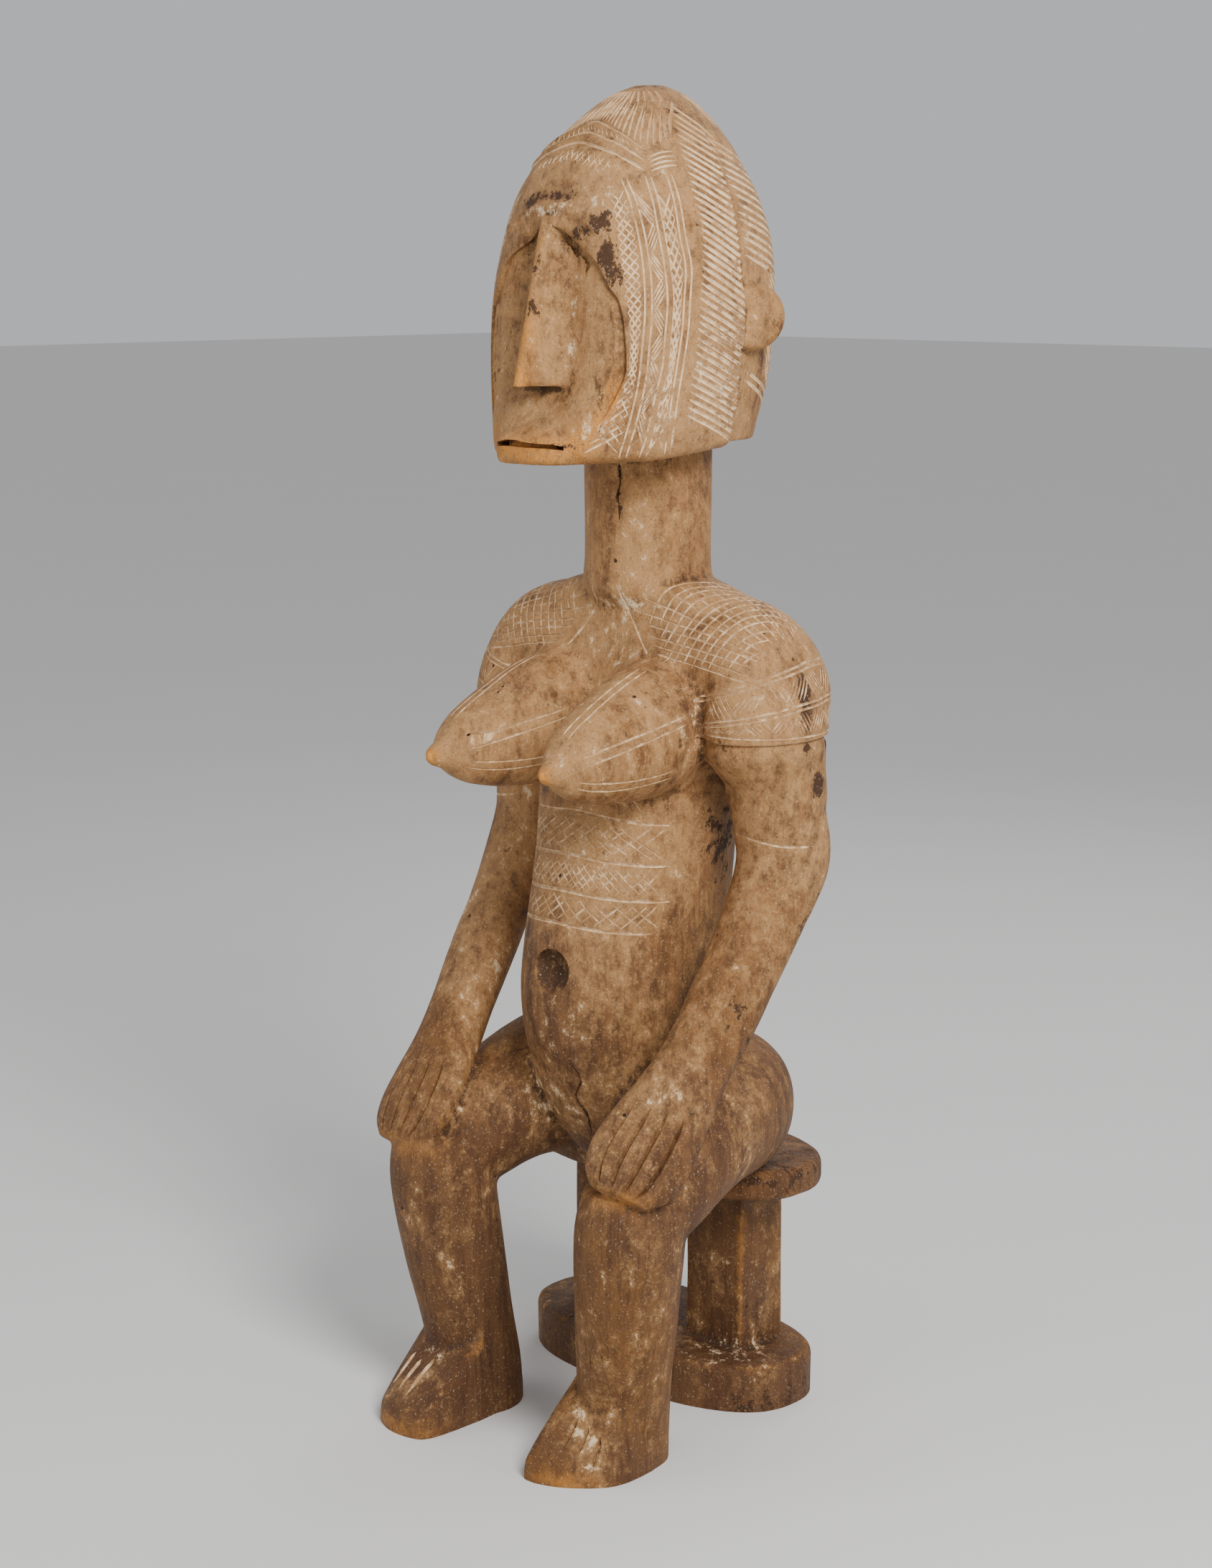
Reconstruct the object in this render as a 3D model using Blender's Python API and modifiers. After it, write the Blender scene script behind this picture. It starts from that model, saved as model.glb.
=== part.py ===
"""Wooden woman seated on a stool, carved from one log.

Metres, +Z up, she faces -Y, her left side is +X, the floor is z = 0.
Body forms are lofts and sweeps measured as shares of the figure's height.
They are fused into one skin, thinned, and cut flat at the floor.
"""
import math

import bmesh
import bpy
from mathutils import Vector
from mathutils.bvhtree import BVHTree

# Driving sizes
FIGURE_HEIGHT = 1.10
SEAT_LENGTH = 0.300
SEAT_DEPTH = 0.148
SEAT_THICK = 0.026
SEAT_TOP = 0.1945 * FIGURE_HEIGHT
STOOL_X = -0.025
STOOL_Y = 0.060
POST_Y = 0.067
BASE_LENGTH = 0.282
BASE_DEPTH = 0.144
BASE_THICK = 0.041
POST_WIDTH = 0.064
POST_DEPTH = 0.055
POST_SPREAD = 0.134
GROOVE_WIDTH = 0.0042
EDGE_ROUND = 0.006

# Make
RING = 40
VOXEL = 0.0034
SOFT_ROUNDS = 10
CRISP_ROUNDS = 2
TRIANGLES = 7500
SINK = 0.012
UNIT = FIGURE_HEIGHT / 1.10
NAME = "seated_figure"


def lerp(a, b, t):
    return a + (b - a) * t


def smoothstep(a, b, value):
    t = min(1.0, max(0.0, (value - a) / (b - a)))
    return t * t * (3.0 - 2.0 * t)


def catmull(stations, steps):
    """Even flow through a short list of stations, each a tuple of numbers."""
    out = []
    last = len(stations) - 1
    for i in range(last):
        p0 = stations[max(i - 1, 0)]
        p1 = stations[i]
        p2 = stations[i + 1]
        p3 = stations[min(i + 2, last)]
        for s in range(steps):
            t = s / steps
            row = []
            for a, b, c, d in zip(p0, p1, p2, p3):
                row.append(0.5 * (2 * b + (c - a) * t + (2 * a - 5 * b + 4 * c - d) * t * t
                                  + (3 * b - a - 3 * c + d) * t ** 3))
            out.append(tuple(row))
    out.append(tuple(stations[last]))
    return out


def super_point(angle, rx, ry, power):
    c = math.cos(angle)
    s = math.sin(angle)
    return (rx * math.copysign(abs(c) ** (2.0 / power), c),
            ry * math.copysign(abs(s) ** (2.0 / power), s))


def turned(point, twist):
    u, v = point
    return (u * math.cos(twist) + v * math.sin(twist), v * math.cos(twist) - u * math.sin(twist))


def skin(name, rings, collection):
    """Closed solid through rings of equal count, with flat ends."""
    mesh = bpy.data.meshes.new(name)
    bm = bmesh.new()
    rows = [[bm.verts.new(p) for p in ring] for ring in rings]
    count = len(rings[0])
    for low, high in zip(rows, rows[1:]):
        for i in range(count):
            j = (i + 1) % count
            bm.faces.new((low[i], low[j], high[j], high[i]))
    bm.faces.new(list(reversed(rows[0])))
    bm.faces.new(rows[-1])
    bmesh.ops.recalc_face_normals(bm, faces=bm.faces)
    bm.to_mesh(mesh)
    bm.free()
    obj = bpy.data.objects.new(name, mesh)
    collection.objects.link(obj)
    return obj


def column(name, stations, collection, steps=6):
    """Upright loft; a station is (z, centre_y, half_width, half_front, half_back, power)."""
    rings = []
    for z, cy, w, front, back, power in catmull(stations, steps):
        ring = []
        for i in range(RING):
            a = 2 * math.pi * i / RING
            x, y = super_point(a, w, 1.0, power)
            ring.append(Vector((x, cy + y * (back if y > 0 else front), z)) * UNIT)
        rings.append(ring)
    return skin(name, rings, collection)


def sweep(name, stations, side, collection, steps=6, power=2.0, twist=0.0):
    """Limb along a path; a station is (x, y, z, across, thick), side +1 left or -1 right.

    The section is turned about the path by the twist, outward and back.
    """
    path = catmull(stations, steps)
    rings = []
    last = len(path) - 1
    for k, (x, y, z, across, thick) in enumerate(path):
        before = Vector(path[max(k - 1, 0)][:3])
        after = Vector(path[min(k + 1, last)][:3])
        along = (after - before).normalized()
        wide = (Vector((1, 0, 0)) - along * along.x).normalized()
        deep = along.cross(wide)
        ring = []
        for i in range(RING):
            u, v = turned(super_point(2 * math.pi * i / RING, across, thick, power), twist)
            p = (Vector((x, y, z)) + wide * u + deep * v) * UNIT
            p.x *= side
            ring.append(p)
        rings.append(ring)
    return skin(name, rings, collection)


def slab(name, length, depth, low, high, collection, power=2.5):
    """Rounded plank with softened upper and lower edges."""
    r = min(EDGE_ROUND, (high - low) * 0.45)
    rows = [(low, r), (low + 0.3 * r, 0.3 * r), (low + r, 0.0),
            (high - r, 0.0), (high - 0.3 * r, 0.3 * r), (high, r)]
    rings = []
    for z, inset in rows:
        ring = []
        for i in range(RING * 2):
            a = math.pi * i / RING
            x, y = super_point(a, length / 2 - inset, depth / 2 - inset, power)
            ring.append(Vector((STOOL_X + x, STOOL_Y + y, z)))
        rings.append(ring)
    return skin(name, rings, collection)


# Body

def torso(collection):
    """Trunk from the crotch to the root of the neck, belly forward."""
    stations = [
        (0.200, -0.004, 0.030, 0.030, 0.040, 2.2),
        (0.225, -0.010, 0.048, 0.052, 0.062, 2.2),
        (0.262, -0.016, 0.068, 0.072, 0.078, 2.2),
        (0.310, -0.018, 0.077, 0.089, 0.082, 2.2),
        (0.360, -0.018, 0.080, 0.099, 0.079, 2.2),
        (0.410, -0.016, 0.080, 0.096, 0.077, 2.2),
        (0.460, -0.013, 0.080, 0.087, 0.076, 2.2),
        (0.510, -0.009, 0.084, 0.077, 0.073, 2.3),
        (0.560, -0.004, 0.093, 0.068, 0.070, 2.5),
        (0.605, 0.002, 0.114, 0.062, 0.066, 2.7),
        (0.640, 0.005, 0.138, 0.056, 0.062, 2.8),
        (0.668, 0.006, 0.138, 0.049, 0.055, 2.6),
        (0.686, 0.005, 0.116, 0.047, 0.050, 2.3),
        (0.700, 0.003, 0.084, 0.044, 0.046, 2.1),
        (0.708, 0.002, 0.054, 0.042, 0.044, 2.0),
    ]
    return column("torso", stations, collection)


def yoke(collection):
    """Shoulder girdle that runs into both arms."""
    stations = [
        (0.000, 0.004, 0.640, 0.052, 0.062),
        (0.050, 0.004, 0.642, 0.051, 0.060),
        (0.085, 0.005, 0.640, 0.051, 0.059),
        (0.115, 0.006, 0.636, 0.051, 0.057),
        (0.140, 0.006, 0.628, 0.048, 0.052),
        (0.159, 0.006, 0.619, 0.040, 0.038),
        (0.170, 0.006, 0.612, 0.021, 0.018),
    ]
    path = catmull(stations, 4)
    path = [(-x, y, z, a, b) for x, y, z, a, b in reversed(path[1:])] + path
    rings = []
    for x, y, z, deep, tall in path:
        ring = []
        for i in range(RING):
            u, v = super_point(2 * math.pi * i / RING, deep, tall, 2.1)
            ring.append(Vector((x, y + u, z + v)) * UNIT)
        rings.append(ring)
    return skin("yoke", rings, collection)


def neck(collection):
    stations = [
        (0.680, 0.001, 0.0400, 0.0380, 0.0400, 2.0),
        (0.696, 0.000, 0.0525, 0.0500, 0.0525, 2.0),
        (0.712, 0.000, 0.0530, 0.0520, 0.0530, 2.0),
        (0.730, 0.000, 0.0520, 0.0510, 0.0520, 2.0),
        (0.840, 0.000, 0.0530, 0.0520, 0.0530, 2.0),
    ]
    return column("neck", stations, collection)


def breast(side, collection):
    """Long cone held forward, ending in a blunt tip."""
    stations = [
        (0.052, -0.010, 0.600, 0.044, 0.050),
        (0.054, -0.045, 0.594, 0.048, 0.054),
        (0.057, -0.085, 0.586, 0.046, 0.050),
        (0.060, -0.122, 0.579, 0.039, 0.041),
        (0.062, -0.150, 0.575, 0.029, 0.031),
        (0.063, -0.166, 0.573, 0.019, 0.021),
        (0.0635, -0.174, 0.572, 0.0120, 0.0125),
        (0.064, -0.182, 0.571, 0.0095, 0.0095),
        (0.064, -0.188, 0.570, 0.0060, 0.0060),
    ]
    return sweep("breast", stations, side, collection)


# Head

FACE_BOTTOM = 0.830
FACE_TOP = 0.992
RIM_STEP = 0.0035
DISH_DEPTH = 0.013
FLAP_EDGE = -0.012
FLAP_STEP = 0.009


def helmet_stations(inset):
    rows = [
        (0.808, -0.016, 0.086, 0.118, 0.086, 2.2),
        (0.815, -0.016, 0.095, 0.123, 0.096, 2.2),
        (0.840, -0.016, 0.100, 0.119, 0.102, 2.3),
        (0.880, -0.015, 0.105, 0.115, 0.110, 2.4),
        (0.930, -0.014, 0.107, 0.111, 0.114, 2.4),
        (0.975, -0.012, 0.103, 0.104, 0.111, 2.4),
        (1.015, -0.009, 0.092, 0.096, 0.097, 2.3),
        (1.048, -0.006, 0.073, 0.077, 0.077, 2.2),
        (1.076, -0.003, 0.049, 0.050, 0.051, 2.1),
        (1.092, -0.001, 0.030, 0.030, 0.031, 2.0),
        (1.1000, 0.000, 0.011, 0.011, 0.011, 2.0),
    ]
    return [(z, cy, w - inset, f - inset, b, p) for z, cy, w, f, b, p in rows]


def rim_half_width(z):
    """Half width of the hollow face at a height: an oval, pointed at the nose root."""
    rows = [(0.815, 0.034), (0.840, 0.048), (0.862, 0.062), (0.885, 0.069), (0.910, 0.070),
            (0.935, 0.064), (0.958, 0.052), (0.978, 0.032), (0.992, 0.012)]
    if z <= rows[0][0]:
        return rows[0][1]
    for (z0, w0), (z1, w1) in zip(rows, rows[1:]):
        if z <= z1:
            return lerp(w0, w1, (z - z0) / (z1 - z0))
    return 0.001


def face_hollow(x, z):
    """Depth of the face below the head's own surface."""
    edge = max(rim_half_width(z), 0.001)
    depth = DISH_DEPTH * (1.0 - smoothstep(0.0, edge, abs(x)))
    depth += RIM_STEP * (1.0 - smoothstep(edge - 0.005, edge, abs(x)))
    depth *= smoothstep(FACE_BOTTOM, FACE_BOTTOM + 0.040, z)
    return depth * (1.0 - smoothstep(FACE_TOP - 0.008, FACE_TOP, z))


def helmet(collection):
    """Front half of the head with the hollowed face; ends at the edge of the hair flap."""
    rings = []
    for z, cy, w, front, back, power in catmull(helmet_stations(0.0), 8):
        ring = []
        for i in range(RING * 2):
            x, y = super_point(math.pi * i / RING, w, 1.0, power)
            y = cy + y * (back if y > 0 else front)
            if y < cy:
                y += face_hollow(x, z)
            y = min(y, FLAP_EDGE)
            lift = 0.008 * smoothstep(-0.09, FLAP_EDGE, y) * (1.0 - smoothstep(0.808, 0.850, z))
            ring.append(Vector((x, y, z + lift)) * UNIT)
        rings.append(ring)
    return skin("helmet", rings, collection)


def back_hair(collection):
    """Recessed hair behind the flap, shorter at the bottom."""
    rows = [row for row in catmull(helmet_stations(FLAP_STEP), 8) if row[0] > 0.820]
    rings = []
    for z, cy, w, front, back, power in rows:
        ring = []
        fade = 1.0 - smoothstep(1.03, 1.075, z)
        for i in range(RING * 2):
            x, y = super_point(math.pi * i / RING, w + FLAP_STEP * (1.0 - fade), 1.0, power)
            y = cy + y * (back if y > 0 else front * 0.8)
            ring.append(Vector((x, y, z)) * UNIT)
        rings.append(ring)
    return skin("back_hair", rings, collection)


def nose(collection):
    """Long wedge from the brow to a sharp undercut tip."""
    rings = []
    for t in [k / 8 for k in range(9)]:
        z = lerp(0.865, 0.992, t)
        ridge = lerp(-0.151, -0.121, t)
        half = lerp(0.023, 0.012, t)
        root = -0.095
        foot_y = lerp(-0.112, -0.104, t)
        right = [(-half, root), (-half, foot_y), (-0.0045, ridge + 0.002), (-0.002, ridge)]
        ring = right + [(-x, y) for x, y in reversed(right)]
        rings.append([Vector((x, y, z)) * UNIT for x, y in ring])
    return skin("nose", rings, collection)


def chin(collection):
    """Shovel chin that carries both lips and rises into the face in one sweep."""
    stations = [
        (0.806, -0.070, 0.042, 0.073, 0.040, 2.8),
        (0.810, -0.070, 0.046, 0.077, 0.040, 2.8),
        (0.817, -0.070, 0.048, 0.079, 0.040, 2.8),
        (0.824, -0.070, 0.047, 0.078, 0.040, 2.7),
        (0.832, -0.070, 0.043, 0.071, 0.040, 2.5),
        (0.843, -0.070, 0.037, 0.060, 0.040, 2.3),
        (0.858, -0.070, 0.028, 0.048, 0.040, 2.1),
        (0.874, -0.070, 0.016, 0.038, 0.040, 2.0),
    ]
    return column("chin", stations, collection, steps=3)


def ear(side, collection):
    """Half-disc lug standing off the side of the head behind the flap."""
    rings = []
    turn = math.radians(62)
    along = Vector((math.cos(turn), math.sin(turn), 0))
    out = Vector((math.sin(turn), -math.cos(turn), 0))
    centre = Vector((0.098, 0.014, 0.919))
    for depth, size in ((-0.020, 0.0255), (0.004, 0.0265), (0.009, 0.0255), (0.012, 0.0215)):
        ring = []
        for i in range(RING):
            a = 2 * math.pi * i / RING
            p = centre + out * depth + along * (size * math.cos(a)) + Vector((0, 0, size * math.sin(a)))
            p.x *= side
            ring.append(p * UNIT)
        rings.append(ring)
    return skin("ear", rings, collection)


# Mouth and navel

def mouth_slot(collection):
    """Narrow slot between the lips, bent round the front of the chin."""
    arc = []
    for grow in (0.012, -0.007):
        row = []
        for i in range(-7, 8):
            x, y = super_point(-math.pi / 2 + i * 0.105, 0.048 + grow, 0.079 + grow, 2.8)
            row.append((x, -0.070 + y))
        arc.append(row)
    outline = arc[0] + list(reversed(arc[1]))
    rings = []
    for z in (0.8180, 0.8225):
        rings.append([Vector((x, y, z)) * UNIT for x, y in outline])
    return skin("mouth", rings, collection)


def navel(collection):
    """Ball cutter that leaves a round dimple in the belly."""
    centre = Vector((0.0, -0.120, 0.396))
    radius = 0.015
    rings = []
    for k in range(1, 10):
        a = math.pi * k / 10
        ring = []
        for i in range(20):
            t = math.pi * i / 10
            out = Vector((math.sin(a) * math.cos(t), math.sin(a) * math.sin(t), -math.cos(a)))
            ring.append((centre + out * radius) * UNIT)
        rings.append(ring)
    return skin("navel", rings, collection)


# Arms and hands

LOWER_ARM = [
    (0.132, 0.008, 0.565, 0.036, 0.038),
    (0.137, 0.010, 0.520, 0.038, 0.038),
    (0.141, 0.010, 0.488, 0.038, 0.035),
    (0.142, -0.012, 0.448, 0.034, 0.029),
    (0.140, -0.051, 0.388, 0.031, 0.023),
    (0.136, -0.086, 0.335, 0.030, 0.021),
    (0.133, -0.108, 0.304, 0.034, 0.018),
    (0.131, -0.128, 0.279, 0.040, 0.016),
    (0.129, -0.146, 0.258, 0.042, 0.015),
    (0.128, -0.160, 0.242, 0.037, 0.012),
    (0.128, -0.169, 0.232, 0.024, 0.008),
]
LEFT_ARM_TWIST = math.radians(24)
RIGHT_ARM_TWIST = math.radians(4)
LEFT_HAND_RAISE = 0.010


def lower_arm_path(side):
    rows = []
    for x, y, z, across, thick in LOWER_ARM:
        raised = LEFT_HAND_RAISE * (1.0 - smoothstep(0.27, 0.38, z)) if side > 0 else 0.0
        rows.append((x, y, z + raised, across, thick))
    return rows


def upper_arm(side, collection):
    stations = [
        (0.104, 0.006, 0.646, 0.034, 0.042),
        (0.121, 0.006, 0.634, 0.042, 0.047),
        (0.129, 0.006, 0.600, 0.044, 0.046),
        (0.132, 0.008, 0.565, 0.042, 0.042),
        (0.135, 0.011, 0.530, 0.041, 0.039),
    ]
    return sweep("upper_arm", stations, side, collection)


def sleeve(side, collection):
    """Shoulder cap that stands proud of the plain arm below it, most of all in front."""
    stations = [
        (0.116, 0.006, 0.650, 0.0340, 0.0380),
        (0.124, 0.003, 0.630, 0.0450, 0.0490),
        (0.129, 0.000, 0.608, 0.0475, 0.0530),
        (0.130, -0.001, 0.590, 0.0480, 0.0545),
        (0.130, -0.001, 0.587, 0.0460, 0.0525),
    ]
    return sweep("sleeve", stations, side, collection)


def arm_twist(side):
    return LEFT_ARM_TWIST if side > 0 else RIGHT_ARM_TWIST


def lower_arm(side, collection):
    return sweep("lower_arm", lower_arm_path(side), side, collection, twist=arm_twist(side))


def finger_grooves(side, collection):
    """Four grooves down the back of the hand."""
    path = catmull(lower_arm_path(side)[6:], 5)
    cutters = []
    for share in (-0.58, -0.20, 0.18, 0.55):
        rows = []
        for k, (x, y, z, across, thick) in enumerate(path[3:-2]):
            after = Vector(path[k + 4][:3]) - Vector(path[k + 2][:3])
            along = after.normalized()
            wide = (Vector((1, 0, 0)) - along * along.x).normalized()
            deep = along.cross(wide)
            u, v = turned((across * share, thick * math.sqrt(1.0 - share * share)), arm_twist(side))
            rows.append(Vector((x, y, z)) + wide * u + deep * v)
        cutters.append(thread("finger", rows, side, collection))
    return cutters


def thread(name, points, side, collection):
    """Six-sided cord used as a groove cutter."""
    rings = []
    last = len(points) - 1
    for k, p in enumerate(points):
        along = (points[min(k + 1, last)] - points[max(k - 1, 0)]).normalized()
        a = along.orthogonal().normalized()
        b = along.cross(a)
        size = GROOVE_WIDTH * (0.35 if k in (0, last) else 0.62)
        ring = []
        for i in range(6):
            t = math.pi * i / 3
            q = p + a * size * math.cos(t) + b * size * math.sin(t)
            q.x *= side
            ring.append(q * UNIT)
        rings.append(ring)
    return skin(name, rings, collection)


# Legs and feet

def leg(side, collection):
    """Thigh from the seat to the knee, then the shin."""
    thigh = [
        (0.047, 0.078, 0.258, 0.010, 0.010),
        (0.049, 0.073, 0.260, 0.030, 0.030),
        (0.054, 0.056, 0.264, 0.048, 0.047),
        (0.063, 0.028, 0.268, 0.064, 0.063),
        (0.080, -0.018, 0.268, 0.067, 0.063),
        (0.098, -0.070, 0.252, 0.058, 0.052),
        (0.109, -0.112, 0.227, 0.048, 0.045),
        (0.111, -0.132, 0.208, 0.038, 0.036),
    ]
    shin = [
        (0.111, -0.136, 0.240, 0.038, 0.036),
        (0.110, -0.136, 0.205, 0.045, 0.044),
        (0.102, -0.131, 0.140, 0.042, 0.043),
        (0.093, -0.124, 0.080, 0.038, 0.040),
        (0.087, -0.118, 0.030, 0.036, 0.039),
        (0.086, -0.118, -0.012, 0.036, 0.039),
    ]
    return [sweep("thigh", thigh, side, collection), sweep("shin", shin, side, collection)]


def foot_plan(side):
    """Outline of the sole, inner side first; her left foot is the shorter one."""
    if side > 0:
        toes = [(0.052, -0.150), (0.054, -0.196), (0.066, -0.207),
                (0.094, -0.197), (0.121, -0.170), (0.125, -0.138)]
    else:
        toes = [(0.050, -0.150), (0.052, -0.203), (0.066, -0.216),
                (0.094, -0.216), (0.121, -0.198), (0.128, -0.160)]
    return toes + [(0.118, -0.102), (0.099, -0.080), (0.073, -0.080), (0.056, -0.100)]


def foot(side, collection):
    """Wedge foot: slanted toes and a narrow heel."""
    plan = foot_plan(side)
    outline = catmull(plan + [plan[0]], 4)[:-1]
    rings = []
    slope = [(-0.012, 0.0), (0.006, 0.0), (0.015, 0.03), (0.028, 0.22),
             (0.046, 0.52), (0.064, 0.86), (0.071, 1.0)]
    for z, rise in slope:
        ring = []
        for x, y in outline:
            if y < -0.140:
                y = lerp(y, -0.140, rise * 0.98)
            x = lerp(x, 0.087, 0.10 * rise)
            ring.append(Vector((x * side, y, z)) * UNIT)
        rings.append(ring)
    return skin("foot", rings, collection)


def toe_grooves(side, body, collection):
    """Three grooves between the outer toes, laid on the top of the foot."""
    corners = [v.co for v in body.data.vertices]
    tree = BVHTree.FromPolygons(corners, [p.vertices for p in body.data.polygons])
    reach = -0.205 if side < 0 else -0.194
    cutters = []
    for share in (0.38, 0.58, 0.78):
        rows = []
        for t in [k / 5 for k in range(6)]:
            x = lerp(0.062, 0.122, share) * UNIT + 0.003 * t
            y = lerp(-0.172, reach + 0.020 * share, t) * UNIT
            hit = tree.ray_cast(Vector((x * side, y, 0.12 * UNIT)), Vector((0, 0, -1)))
            rows.append(Vector((x, y, hit[0].z)) / UNIT)
        cutters.append(thread("toe", rows, side, collection))
    return cutters


# Stool

def stool(collection):
    """Oval seat and base joined by two square posts."""
    parts = [
        slab("seat", SEAT_LENGTH, SEAT_DEPTH, SEAT_TOP - SEAT_THICK, SEAT_TOP, collection),
        slab("base", BASE_LENGTH, BASE_DEPTH, -SINK, BASE_THICK, collection),
    ]
    for side in (-1, 1):
        rings = []
        for z in (BASE_THICK - 0.010, SEAT_TOP - SEAT_THICK / 2):
            cx = STOOL_X + side * POST_SPREAD / 2
            hx = POST_WIDTH / 2
            hy = POST_DEPTH / 2
            square = ((-1, -1), (1, -1), (1, 1), (-1, 1))
            rings.append([Vector((cx + sx * hx, POST_Y + sy * hy, z)) for sx, sy in square])
        parts.append(skin("post", rings, collection))
    return parts


# Joining

def apply_modifier(obj, kind, **settings):
    modifier = obj.modifiers.new(kind.lower(), kind)
    for key, value in settings.items():
        setattr(modifier, key, value)
    bpy.context.view_layer.objects.active = obj
    bpy.ops.object.modifier_apply(modifier=modifier.name)


def join(parts, name):
    bpy.ops.object.select_all(action="DESELECT")
    for part in parts:
        part.select_set(True)
    bpy.context.view_layer.objects.active = parts[0]
    bpy.ops.object.join()
    body = bpy.context.view_layer.objects.active
    body.name = name
    body.data.name = name
    return body


def fuse(parts, name, rounds):
    """Join overlapping solids, wrap them in one even skin and ease its creases."""
    body = join(parts, name)
    apply_modifier(body, "REMESH", mode="VOXEL", voxel_size=VOXEL * UNIT, adaptivity=0.0)
    apply_modifier(body, "SMOOTH", factor=0.5, iterations=round(rounds))
    return body


def carve(body, cutters):
    """Take every cutter away from the body."""
    tool = join(cutters, "carving")
    tool.display_type = "WIRE"
    tool.hide_render = True
    apply_modifier(body, "BOOLEAN", operation="DIFFERENCE", solver="EXACT", object=tool)
    bpy.data.objects.remove(tool, do_unlink=True)


def flatten_floor(obj):
    """Cut everything below the floor so the soles and the base share one plane."""
    bm = bmesh.new()
    bm.from_mesh(obj.data)
    cut = bmesh.ops.bisect_plane(bm, geom=bm.verts[:] + bm.edges[:] + bm.faces[:],
                                 plane_co=(0, 0, 0), plane_no=(0, 0, -1), clear_outer=True)
    rim = [e for e in cut["geom_cut"] if isinstance(e, bmesh.types.BMEdge)]
    bmesh.ops.holes_fill(bm, edges=rim, sides=0)
    for v in bm.verts:
        if abs(v.co.z) < 1e-6:
            v.co.z = 0.0
    bmesh.ops.triangulate(bm, faces=bm.faces)
    bmesh.ops.recalc_face_normals(bm, faces=bm.faces)
    bm.to_mesh(obj.data)
    bm.free()


def wood():
    material = bpy.data.materials.new("carved_wood")
    material.use_nodes = True
    shader = material.node_tree.nodes["Principled BSDF"]
    shader.inputs["Base Color"].default_value = (0.25, 0.14, 0.07, 1.0)
    shader.inputs["Roughness"].default_value = 0.72
    shader.inputs["Metallic"].default_value = 0.0
    return material


def clear_scene():
    for obj in list(bpy.data.objects):
        bpy.data.objects.remove(obj, do_unlink=True)


def main():
    clear_scene()
    collection = bpy.data.collections.new("seated_figure_parts")
    cutters = bpy.data.collections.new("seated_figure_cutters")
    bpy.context.scene.collection.children.link(collection)
    bpy.context.scene.collection.children.link(cutters)
    soft = [torso(collection), yoke(collection)]
    for side in (-1, 1):
        soft.extend([breast(side, collection), upper_arm(side, collection), lower_arm(side, collection)])
        soft.extend(leg(side, collection))
    parts = [fuse(soft, "body", SOFT_ROUNDS), neck(collection)]
    parts.extend([helmet(collection), back_hair(collection), nose(collection), chin(collection)])
    for side in (-1, 1):
        parts.extend([ear(side, collection), sleeve(side, collection), foot(side, collection)])
    parts.extend(stool(collection))
    figure = fuse(parts, NAME, CRISP_ROUNDS)
    count = sum(len(p.vertices) - 2 for p in figure.data.polygons)
    apply_modifier(figure, "DECIMATE", ratio=TRIANGLES / count, use_collapse_triangulate=True)
    hollows = [mouth_slot(cutters), navel(cutters)]
    for side in (-1, 1):
        hollows.extend(finger_grooves(side, cutters) + toe_grooves(side, figure, cutters))
    carve(figure, hollows)
    flatten_floor(figure)
    figure.data.materials.clear()
    figure.data.materials.append(wood())


main()
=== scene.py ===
"""Dresses the seated figure: fine carving, incised patterns, aged wood and a plain studio.

Metres, +Z up, she faces -Y, her left side is +X, the floor is z = 0.
"""
import math
import random

import bmesh
import bpy
import numpy as np
from mathutils import Matrix, Vector, kdtree, noise
from mathutils.bvhtree import BVHTree


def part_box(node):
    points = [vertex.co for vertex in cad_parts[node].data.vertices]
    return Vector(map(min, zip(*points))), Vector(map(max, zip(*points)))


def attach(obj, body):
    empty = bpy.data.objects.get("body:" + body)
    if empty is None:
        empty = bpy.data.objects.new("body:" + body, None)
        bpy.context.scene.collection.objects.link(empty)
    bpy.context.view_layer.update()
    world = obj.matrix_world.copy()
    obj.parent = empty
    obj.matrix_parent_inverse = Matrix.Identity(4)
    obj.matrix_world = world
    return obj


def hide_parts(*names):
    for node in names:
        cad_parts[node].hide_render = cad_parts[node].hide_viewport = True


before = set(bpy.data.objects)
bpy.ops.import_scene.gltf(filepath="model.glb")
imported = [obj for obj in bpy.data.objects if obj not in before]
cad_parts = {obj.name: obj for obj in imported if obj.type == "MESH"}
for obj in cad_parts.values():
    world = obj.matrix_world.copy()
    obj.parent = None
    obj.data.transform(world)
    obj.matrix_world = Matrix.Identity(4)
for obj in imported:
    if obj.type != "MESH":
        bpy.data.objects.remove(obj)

bl_info = {
    "name": "Seated Figure",
    "version": (1, 0, 0),
    "blender": (4, 5, 0),
    "location": "View3D > Sidebar > Figure",
    "description": "Carves, incises and ages a wooden seated figure",
    "category": "Object",
}

NODE = "seated_figure"
LOW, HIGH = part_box(NODE)
FIGURE_HEIGHT = HIGH[2] - LOW[2]
UNIT = FIGURE_HEIGHT / 1.10

# Stool sizes
SEAT_LENGTH = 0.300
SEAT_DEPTH = 0.148
SEAT_THICK = 0.026
SEAT_TOP = 0.1945 * FIGURE_HEIGHT
STOOL_X = -0.025
STOOL_Y = 0.060
POST_Y = 0.067
BASE_LENGTH = 0.282
BASE_DEPTH = 0.144
BASE_THICK = 0.041
POST_WIDTH = 0.064
POST_DEPTH = 0.055
POST_SPREAD = 0.134
EDGE_ROUND = 0.006
SINK = 0.012
SLAB_POWER = 2.5

# Mesh density
RING = 96
SOFT_ROUNDS = 24
CRISP_ROUNDS = 3
EASE_ROUNDS = 5
CREASE_ANGLE = math.radians(36)
HAND_SEED = 11


# Settings

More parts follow.
